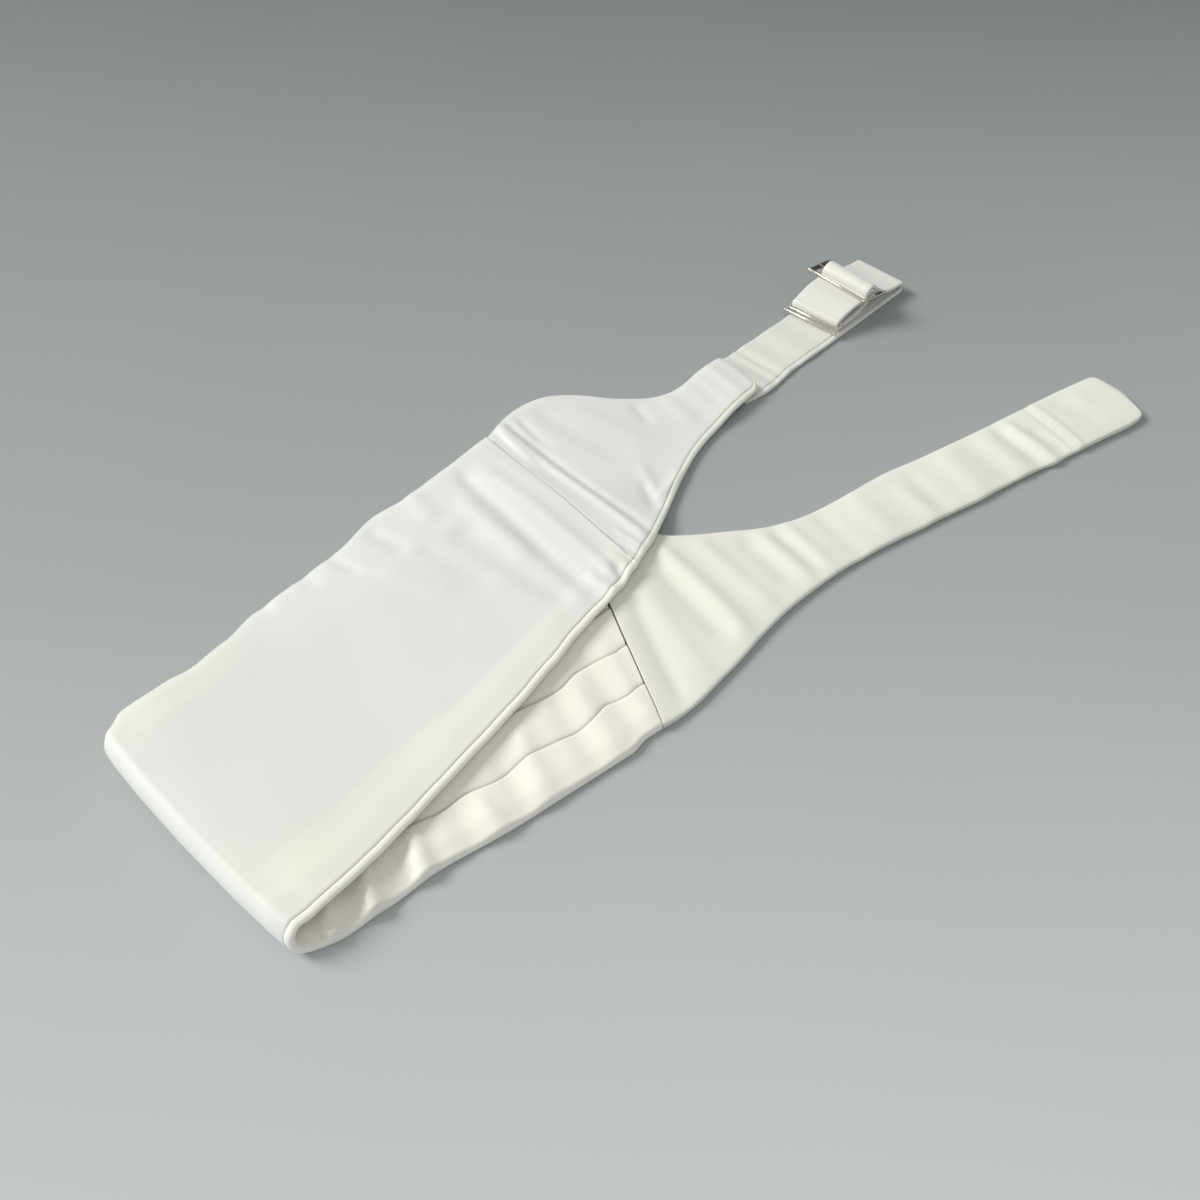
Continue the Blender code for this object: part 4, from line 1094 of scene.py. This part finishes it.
@dataclass
class StrapRoute:
    """The strap's middle line: along it from the band's end, and above the table."""

    behind: tuple = ((124.0, 7.0), (113.0, 9.4), (108.6, 11.0))
    ahead: tuple = ((95.9, 12.3), (92.6, 12.0), (86.5, 11.6), (80.5, 9.9))
    below: tuple = ((81.0, 3.7), (87.0, 4.7), (93.0, 6.5), (98.0, 8.9))
    table_rows: int = 90
    bulge: tuple = ((-9.0, 0.0), (6.0, 2.4), (14.0, 2.0), (30.0, 0.0))

    def arc(self, along: float, height: float, radius: float, start: float, end: float, count: int) -> list:
        """Points of an arc, from one angle to another in degrees."""
        turns = np.radians(np.linspace(start, end, count + 1))
        return [(along + radius * math.cos(turn), height + radius * math.sin(turn)) for turn in turns]

    def curve(self, guides: Sequence[tuple], count: int) -> list:
        """A smooth run through guide points, without its first and last guide."""
        steps = np.arange(1, (len(guides) - 1) * count) / count
        return [tuple(point) for point in along_rows(np.array(guides), steps)]

    def path(self) -> np.ndarray:
        """The whole middle line."""
        half = 0.5 * STRAP_THICKNESS
        wrap = BAR_RADIUS + GAP + half
        saddle = wrap + STRAP_THICKNESS + GAP
        table = [(STRAP_UNDER_BAND, half)]
        table += [(along, half) for along in np.linspace(4.0, TURN_ALONG - 4.0, self.table_rows)]
        turn = self.arc(TURN_ALONG, half + TURN_RADIUS, TURN_RADIUS, -90.0, 90.0, 22)
        over = self.arc(ADJUSTER_ALONG, ADJUSTER_HEIGHT, saddle, 0.0, 180.0, 34)
        loop = self.arc(CLASP_ALONG, CLASP_HEIGHT, wrap, 90.0, 270.0, 26)
        around = self.arc(ADJUSTER_ALONG, ADJUSTER_HEIGHT, wrap, 270.0, 270.0 + WRAP_TURN, 36)
        line = table + turn + self.curve([turn[-1], *self.behind, over[0]], 9) + over
        line += self.curve([over[-1], *self.ahead, loop[0]], 9) + loop
        line += self.curve([loop[-1], *self.below, around[0]], 8) + around
        return np.array(line)

    def place(self, along: np.ndarray, height: np.ndarray, aside: np.ndarray) -> np.ndarray:
        """Points in the strap's own directions, placed in the fold's frame."""
        x = STRAP_START[0] + along * math.cos(STRAP_HEADING) - aside * math.sin(STRAP_HEADING)
        y = STRAP_START[1] + along * math.sin(STRAP_HEADING) + aside * math.cos(STRAP_HEADING)
        return np.stack((x, y, height + 0.0 * x), -1)

    def manner(self, along: float, upper: bool) -> tuple:
        """The strap's drift, slant, squeeze and bulge at a place along it.

        Args:
            along: The place along the strap.
            upper: Whether it is past the far turn.

        Returns:
            The four values.
        """
        if upper:
            drift = np.interp(along, (CLASP_ALONG, TURN_ALONG), (CLASP_DRIFT, TURN_DRIFT))
            stops = (CLASP_ALONG, ADJUSTER_ALONG, TURN_ALONG)
            slant = np.interp(along, stops, (CLASP_SLANT, ADJUSTER_SLANT, TURN_SLANT))
            squeeze = np.interp(along, (CLASP_ALONG, ADJUSTER_ALONG - 6.0), (CLASP_SQUEEZE, 1.0))
            return drift, slant, squeeze, 0.0
        drift = np.interp(along, (0.0, 60.0), (0.0, TURN_DRIFT))
        slant = np.interp(along, (100.0, TURN_ALONG), (0.0, TURN_SLANT))
        places, sizes = zip(*self.bulge)
        return drift, slant, 1.0, np.interp(along, places, sizes)


@dataclass
class Strap:
    """The adjuster strap: a flat tube of satin with eased edges along its route."""

    route: StrapRoute
    finishes: Finishes
    cut: tuple = (0.033, 0.275)
    fold_line: float = 3.1
    dents: tuple = (
        (8.0, 3.0, 0.9),
        (15.0, 2.6, -0.5),
        (18.0, 2.0, 0.3),
        (21.5, 2.0, -0.6),
        (27.0, 3.2, 0.45),
        (37.0, 4.0, -0.35),
        (48.0, 5.0, 0.3),
        (60.0, 5.0, -0.25),
    )

    def profile(self) -> np.ndarray:
        """Points round the strap's section: aside and off, with the line of its folded edge."""
        half_width, half = 0.5 * STRAP_WIDTH, 0.5 * STRAP_THICKNESS
        top = []
        for aside in np.linspace(half_width - 1.0, -half_width + 1.0, 30):
            groove = 0.45 * math.exp(-(((aside + half_width - self.fold_line) / 0.45) ** 2))
            top.append((aside, half - groove))
        line = -half_width + self.fold_line
        top += [(line + step, half - 0.45 * math.exp(-((step / 0.45) ** 2))) for step in (-0.7, -0.35, 0.0, 0.35, 0.7)]
        top.sort(key=lambda point: -point[0])
        turns = np.radians(np.linspace(90.0, -90.0, 9))[1:-1]
        near = [(-half_width + 1.0 - math.cos(turn), half * math.sin(turn)) for turn in turns]
        far = [(half_width - 1.0 + math.cos(turn), -half * math.sin(turn)) for turn in turns]
        under = [(aside, -half) for aside in np.linspace(-half_width + 1.0, half_width - 1.0, 14)]
        return np.array(top + near + under + far)

    def build(self) -> list:
        """The strap's one piece."""
        path, profile = self.route.path(), self.profile()
        rings, places = [], []
        upper = False
        run = 0.0
        for index, (along, height) in enumerate(path):
            before, after = path[max(index - 1, 0)], path[min(index + 1, len(path) - 1)]
            step = (after - before) / np.linalg.norm(after - before)
            upper = upper or step[0] < 0.0
            drift, slant, squeeze, bulge = self.route.manner(along, upper)
            aside, off = profile[:, 0], profile[:, 1]
            aside = aside * squeeze - np.where(aside < 0.0, bulge, 0.0) * (not upper)
            rise = 0.0
            if not upper:
                rise = sum(size * math.exp(-(((along - middle) / width) ** 2)) for middle, width, size in self.dents)
            lift = rise * smooth((off + 0.2) / 0.8) * (1.0 - 0.4 * (aside / 17.0) ** 2)
            reach = along - step[1] * off + slant * aside
            rings.append(self.route.place(reach, height + step[0] * off + lift, aside + drift))
            run += float(np.linalg.norm(path[index] - before)) if index else 0.0
            places.append(run)
        grid = np.array(rings)
        rows, columns = grid.shape[:2]
        faces = [
            (row * columns + column, row * columns + (column + 1) % columns,
             (row + 1) * columns + (column + 1) % columns, (row + 1) * columns + column)
            for row in range(rows - 1)
            for column in range(columns)
        ]
        faces += [tuple(range(columns)), tuple(range(rows * columns - 1, (rows - 1) * columns - 1, -1))]
        along = np.array(places)[:, None] + 0.0 * profile[:, 0]
        weave = np.stack((profile[:, 0] + 0.0 * along, along), -1).reshape(-1, 2) * MM
        aside = profile[:, 0] + 0.0 * along
        warmth = np.clip(0.5 + 0.4 * ripple(along, aside, 3.0), 0.0, 1.0)
        # Painted shade in the groove along the strap's folded edge.
        shade = eased(aside + 0.5 * STRAP_WIDTH - self.fold_line, 0.7, 0.35) * (profile[:, 1] > 0.0)
        tones = {"warmth": warmth.reshape(-1), "shade": shade.reshape(-1)}
        made = make_object("adjuster_strap_satin", grid.reshape(-1, 3), faces, self.finishes.strap, weave, tones)
        declare(made, ["adjuster_strap"])
        return [made]


# The stitches' tree: each node's type, settings and values, then its links
BEAD_NODES = {
    "start": ("NodeGroupInput", {}, {}),
    "curve": ("GeometryNodeMeshToCurve", {}, {}),
    "even": ("GeometryNodeResampleCurve", {"mode": "LENGTH"}, {}),
    "tangent": ("GeometryNodeInputTangent", {}, {}),
    "turn": ("FunctionNodeAlignRotationToVector", {"axis": "Z"}, {}),
    "bead": ("GeometryNodeMeshUVSphere", {}, {"Segments": 8, "Rings": 5, "Radius": 1.0}),
    "least": ("ShaderNodeMath", {"operation": "SUBTRACT"}, {0: 0.5}),
    "most": ("ShaderNodeMath", {"operation": "ADD"}, {0: 0.5}),
    "spread": ("FunctionNodeRandomValue", {"data_type": "FLOAT"}, {}),
    "half": ("ShaderNodeMath", {"operation": "MULTIPLY"}, {}),
    "size": ("ShaderNodeCombineXYZ", {}, {}),
    "lay": ("GeometryNodeInstanceOnPoints", {}, {}),
    "real": ("GeometryNodeRealizeInstances", {}, {}),
    "dress": ("GeometryNodeSetMaterial", {}, {}),
    "end": ("NodeGroupOutput", {}, {}),
}
BEAD_LINKS = (
    ("start", "Geometry", "curve", "Mesh"),
    ("curve", "Curve", "even", "Curve"),
    ("start", "Spacing", "even", "Length"),
    ("tangent", "Tangent", "turn", "Vector"),
    ("start", "Jitter", "least", 1),
    ("start", "Jitter", "most", 1),
    ("least", 0, "spread", 2),
    ("most", 0, "spread", 3),
    ("start", "Seed", "spread", "Seed"),
    ("spread", 1, "half", 0),
    ("start", "Length", "half", 1),
    ("start", "Radius", "size", "X"),
    ("start", "Radius", "size", "Y"),
    ("half", 0, "size", "Z"),
    ("even", "Curve", "lay", "Points"),
    ("bead", "Mesh", "lay", "Instance"),
    ("turn", "Rotation", "lay", "Rotation"),
    ("size", "Vector", "lay", "Scale"),
    ("lay", "Instances", "real", "Geometry"),
    ("real", "Geometry", "dress", "Geometry"),
    ("dress", "Geometry", "end", "Geometry"),
)


@dataclass(frozen=True)
class Beads:
    """A Geometry Nodes tree that lays small rounded beads along a line, as stitches.

    Args:
        spacing: The distance between beads, in millimetres.
        length: A bead's length along the line.
        radius: Its radius across the line.
        jitter: How much its length varies, as a share.
        seed: The seed of that variation.
    """

    spacing: float
    length: float
    radius: float
    jitter: float = 0.1
    seed: int = 7

    def tree(self, material: bpy.types.Material) -> bpy.types.NodeTree:
        """Build the tree with its named inputs.

        Args:
            material: The beads' material.

        Returns:
            The node group.
        """
        group = bpy.data.node_groups.new("beads_along_line", "GeometryNodeTree")
        face = group.interface
        face.new_socket("Geometry", in_out="INPUT", socket_type="NodeSocketGeometry")
        for name in ("Spacing", "Length", "Radius", "Jitter"):
            face.new_socket(name, in_out="INPUT", socket_type="NodeSocketFloat")
        face.new_socket("Seed", in_out="INPUT", socket_type="NodeSocketInt")
        face.new_socket("Geometry", in_out="OUTPUT", socket_type="NodeSocketGeometry")
        nodes = {}
        for title, (kind, settings, values) in BEAD_NODES.items():
            nodes[title] = group.nodes.new(kind)
            for key, value in settings.items():
                setattr(nodes[title], key, value)
            for key, value in values.items():
                nodes[title].inputs[key].default_value = value
        nodes["dress"].inputs["Material"].default_value = material
        for source, output, target, entry in BEAD_LINKS:
            group.links.new(nodes[source].outputs[output], nodes[target].inputs[entry])
        return group

    def lay(self, name: str, lines: Sequence[np.ndarray], material: bpy.types.Material) -> bpy.types.Object:
        """Lay beads along lines.

        Args:
            name: The new object's name.
            lines: Point rows in the fold's frame, in millimetres.
            material: The beads' material.

        Returns:
            A plain mesh object.
        """
        points, edges = [], []
        for line in lines:
            first = len(points)
            points += ((np.asarray(line) + ORIGIN) * MM).tolist()
            edges += [(first + index, first + index + 1) for index in range(len(line) - 1)]
        guide_mesh = bpy.data.meshes.new(name + "_guide")
        guide_mesh.from_pydata(points, edges, [])
        guide = placed(name + "_guide", guide_mesh)
        group = self.tree(material)
        modifier = guide.modifiers.new("beads", "NODES")
        modifier.node_group = group
        values = {
            "Spacing": self.spacing * MM,
            "Length": self.length * MM,
            "Radius": self.radius * MM,
            "Jitter": 0.5 * self.jitter,
            "Seed": self.seed,
        }
        for item in group.interface.items_tree:
            if item.in_out == "INPUT" and item.name in values:
                modifier[item.identifier] = values[item.name]
        graph = bpy.context.evaluated_depsgraph_get()
        mesh = bpy.data.meshes.new_from_object(guide.evaluated_get(graph))
        bpy.data.objects.remove(guide)
        mesh.name = name
        mesh.shade_smooth()
        return placed(name, mesh)


@dataclass
class MetalFrame:
    """A slotted metal frame: flat ends and round bars across it.

    Args:
        name: The piece's name.
        node: The plain solid that it takes the place of.
        ends: Spans across the strap of the two flat ends.
        bars: Along the frame, the middle and the radius of each round bar.
        reach: Along the frame, the span that the flat ends cover.
        thickness: The flat ends' thickness.
        along: The place along the strap.
        height: The height of the frame's middle.
        tilt: The turn about the crosswise line, in radians.
        route: The strap's route.
        finishes: The materials.
    """

    name: str
    node: str
    ends: tuple
    bars: tuple
    reach: tuple
    thickness: float
    along: float
    height: float
    tilt: float
    route: StrapRoute
    finishes: Finishes

    def matrix(self) -> Matrix:
        """The frame's place and turn in the fold's frame."""
        drift, slant, _, _ = self.route.manner(self.along, True)
        turn = Matrix.Rotation(STRAP_HEADING - math.atan(slant), 4, "Z") @ Matrix.Rotation(self.tilt, 4, "Y")
        place = self.route.place(np.array(self.along), np.array(self.height), np.array(drift))
        return Matrix.Translation(Vector(place.tolist())) @ turn

    def flat_end(self, work: bmesh.types.BMesh, span: tuple) -> None:
        """Add a flat end with eased edges."""
        low, high = span
        size = (self.reach[1] - self.reach[0], high - low, self.thickness)
        middle = (0.5 * (self.reach[0] + self.reach[1]), 0.5 * (low + high), 0.0)
        made = bmesh.ops.create_cube(work, size=1.0)["verts"]
        bmesh.ops.scale(work, vec=size, verts=made)
        bmesh.ops.translate(work, vec=middle, verts=made)
        edges = list(dict.fromkeys(edge for vert in made for edge in vert.link_edges))
        bmesh.ops.bevel(work, geom=edges, offset=0.28 * self.thickness, segments=3, profile=0.6, affect="EDGES")

    def bar(self, work: bmesh.types.BMesh, middle: float, radius: float) -> None:
        """Add a round bar from end to end, with domed ends."""
        low, high = self.ends[0][0] + BAR_INSET, self.ends[1][1] - BAR_INSET
        rings = [(low - rise * radius, share * radius) for rise, share in BAR_DOME]
        rings += [(high + rise * radius, share * radius) for rise, share in reversed(BAR_DOME)]
        turns = [math.tau * step / BAR_SIDES for step in range(BAR_SIDES)]
        loops = [
            [work.verts.new((middle + size * math.cos(turn), place, size * math.sin(turn))) for turn in turns]
            for place, size in rings
        ]
        for first, second in zip(loops, loops[1:]):
            for step in range(BAR_SIDES):
                after = (step + 1) % BAR_SIDES
                work.faces.new((first[step], first[after], second[after], second[step]))
        work.faces.new(loops[0])
        work.faces.new(loops[-1])

    def ordered(self, work: bmesh.types.BMesh) -> tuple:
        """Points sorted by place and faces in a fixed order, the same at every run.

        A triangle starts at its lowest corner. A quad starts at the lower of its first and third corner, which keeps
        the line that it is halved along. Larger faces keep their first corner.

        Args:
            work: The frame's mesh.

        Returns:
            The points and the faces.
        """
        order = sorted(work.verts, key=lambda vert: tuple(vert.co))
        number = {vert: index for index, vert in enumerate(order)}
        faces = []
        for face in work.faces:
            corners = [number[vert] for vert in face.verts]
            stride = {3: 1, 4: 2}.get(len(corners), len(corners))
            first = corners.index(min(corners[::stride]))
            faces.append(tuple(corners[first:] + corners[:first]))
        return np.array([tuple(vert.co) for vert in order]), sorted(faces)

    def build(self) -> list:
        """The frame's one piece."""
        work = bmesh.new()
        for span in self.ends:
            self.flat_end(work, span)
        for middle, radius in self.bars:
            self.bar(work, middle, radius)
        bmesh.ops.transform(work, matrix=self.matrix(), verts=work.verts)
        bmesh.ops.recalc_face_normals(work, faces=work.faces)
        points, faces = self.ordered(work)
        work.free()
        made = make_object(self.name, points, faces, self.finishes.metal)
        declare(made, [self.node])
        return [made]


@dataclass
class Sewing:
    """The visible thread: the row of stitches over the tail's hem.

    Args:
        finishes: The materials.
        start: The row's first end, seen from above.
        end: Its other end.
        near: The tail's near edge beside the row.
        far: Its far edge there.
        clear: How far the thread stands above the hem.
        count: How many points the row is laid over.
    """

    finishes: Finishes
    start: tuple = (441.0, -115.2)
    end: tuple = (449.0, -81.6)
    near: tuple = (438.6, -115.6)
    far: tuple = (446.7, -81.0)
    clear: float = 0.1
    count: int = 40

    def row(self) -> np.ndarray:
        """Points of the row, over the tail's crown and creases."""
        share = np.linspace(0.0, 1.0, self.count)
        x, y = mix(self.start[0], self.end[0], share), mix(self.start[1], self.end[1], share)
        part = np.hypot(x - self.near[0], y - self.near[1]) / math.dist(self.near, self.far)
        crown = BAND_CROWN * 4.0 * part * (1.0 - part)
        lift = creased(x, y, LOWER_CREASES) + BAND_RIPPLE * ripple(x, y, BAND_RIPPLE_SEED)
        return np.stack((x, y, BAND_THICKNESS + crown + lift + HEM_THICKNESS + self.clear), -1)

    def build(self) -> list:
        """The one row of stitches."""
        stitches = Beads(2.3, 1.9, 0.16, 0.25).lay("tail_hem_stitches", [self.row()], self.finishes.thread)
        declare(stitches, [])
        return [stitches]


@dataclass
class Studio:
    """The pale table, the soft light and the camera."""

    lens: float = 35.4
    place: tuple = (-296.9, -254.0, 402.0)
    down: float = 41.0
    heading: float = -45.047
    roll: float = 0.5
    table_half: float = 3.0
    sky: tuple = (0.97, 0.985, 1.0, 1.0)
    sky_strength: float = 0.5
    sun: tuple = (1.0, 0.985, 0.96)
    sun_strength: float = 2.38
    sun_spread: float = 26.0
    sun_place: tuple = (-0.6, 1.0, 0.84)
    board_half: tuple = (0.8, 0.45)
    board_place: tuple = (1.42, 0.7, 0.64)
    board_facing: tuple = (-1.21, -0.64, -0.61)
    board_colour: tuple = (0.045, 0.041, 0.036, 1.0)

    def plate(self, name: str, wide: float, deep: float, material: bpy.types.Material) -> bpy.types.Object:
        """A flat rectangle of the studio, from its half sizes."""
        mesh = bpy.data.meshes.new(name)
        corners = [(-wide, -deep, 0.0), (wide, -deep, 0.0), (wide, deep, 0.0), (-wide, deep, 0.0)]
        mesh.from_pydata(corners, [], [(0, 1, 2, 3)])
        mesh.materials.append(material)
        return placed(name, mesh)

    def floor(self) -> bpy.types.Object:
        """The table top."""
        top = Table("table_top", (0.94, 0.995, 1.0)).build()
        made = self.plate("floor", self.table_half, self.table_half, top)
        return made

    def light(self) -> None:
        """A wide soft light from the far left, an even sky and a dark board that the flat metal reflects."""
        world = bpy.data.worlds.new("studio")
        world.use_nodes = True
        sky = world.node_tree.nodes["Background"]
        sky.inputs["Color"].default_value = self.sky
        sky.inputs["Strength"].default_value = self.sky_strength
        bpy.context.scene.world = world
        lamp = bpy.data.lights.new("window_light", "SUN")
        lamp.energy = self.sun_strength
        lamp.angle = math.radians(self.sun_spread)
        lamp.color = self.sun
        made = placed("window_light", lamp)
        made.location = self.sun_place
        made.rotation_euler = (-Vector(self.sun_place)).to_track_quat("-Z", "Y").to_euler()
        self.dark_board()

    def dark_board(self) -> None:
        """A matt black board beyond the object."""
        black = Graph.new("black_board").finish({"Base Color": self.board_colour, "Roughness": 0.9})
        made = self.plate("dark_board", *self.board_half, black)
        made.location = self.board_place
        made.rotation_euler = Vector(self.board_facing).to_track_quat("Z", "Y").to_euler()

    def camera(self) -> None:
        """The camera, at the photograph's angle."""
        data = bpy.data.cameras.new("camera")
        data.lens = self.lens
        data.sensor_width = 36.0
        data.clip_start = 0.01
        made = placed("camera", data)
        turn = Matrix.Rotation(math.radians(self.heading), 4, "Z") @ Matrix.Rotation(math.radians(self.down), 4, "X")
        turn = turn @ Matrix.Rotation(math.radians(self.roll), 4, "Z")
        made.matrix_world = Matrix.Translation(Vector(self.place) * MM) @ turn
        bpy.context.scene.camera = made

    def build(self) -> None:
        """Set everything up."""
        self.floor()
        self.light()
        self.camera()
        bpy.context.scene.view_settings.view_transform = "Standard"


def main() -> None:
    """Build every piece in order."""
    logging.basicConfig(level=logging.INFO)
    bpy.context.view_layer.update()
    Studio().build()
    finishes = Finishes.make()
    route = StrapRoute()
    made: list = []
    made += Body(finishes).build()
    made += Band(Side.UPPER, UPPER_BAND, UPPER_CREASES, finishes, 90, 56, (0.095, 0.140), (0.086, 0.140)).build()
    made += Band(Side.LOWER, LOWER_BAND, LOWER_CREASES, finishes, 150, 44, (0.060, 0.300), (0.045, 0.300)).build()
    made += Strap(route, finishes).build()
    made += MetalFrame(
        "slide_adjuster_metal",
        "slide_adjuster",
        ((-19.4, -16.9), (18.7, 23.1)),
        ((-8.5, 0.85), (0.0, 0.85), (8.1, 0.9)),
        (-9.6, 9.6),
        1.2,
        ADJUSTER_ALONG,
        ADJUSTER_HEIGHT,
        ADJUSTER_TILT,
        route,
        finishes,
    ).build()
    made += MetalFrame(
        "clasp_metal",
        "clasp",
        ((-17.5, -16.0), (16.0, 17.5)),
        ((-7.3, 0.7), (-4.6, 0.6), (0.0, 0.85)),
        (-8.1, 0.8),
        1.4,
        CLASP_ALONG,
        CLASP_HEIGHT,
        CLASP_TILT,
        route,
        finishes,
    ).build()
    made += Sewing(finishes).build()
    log.info("%d pieces", len(made))


if __name__ == "__main__":
    main()
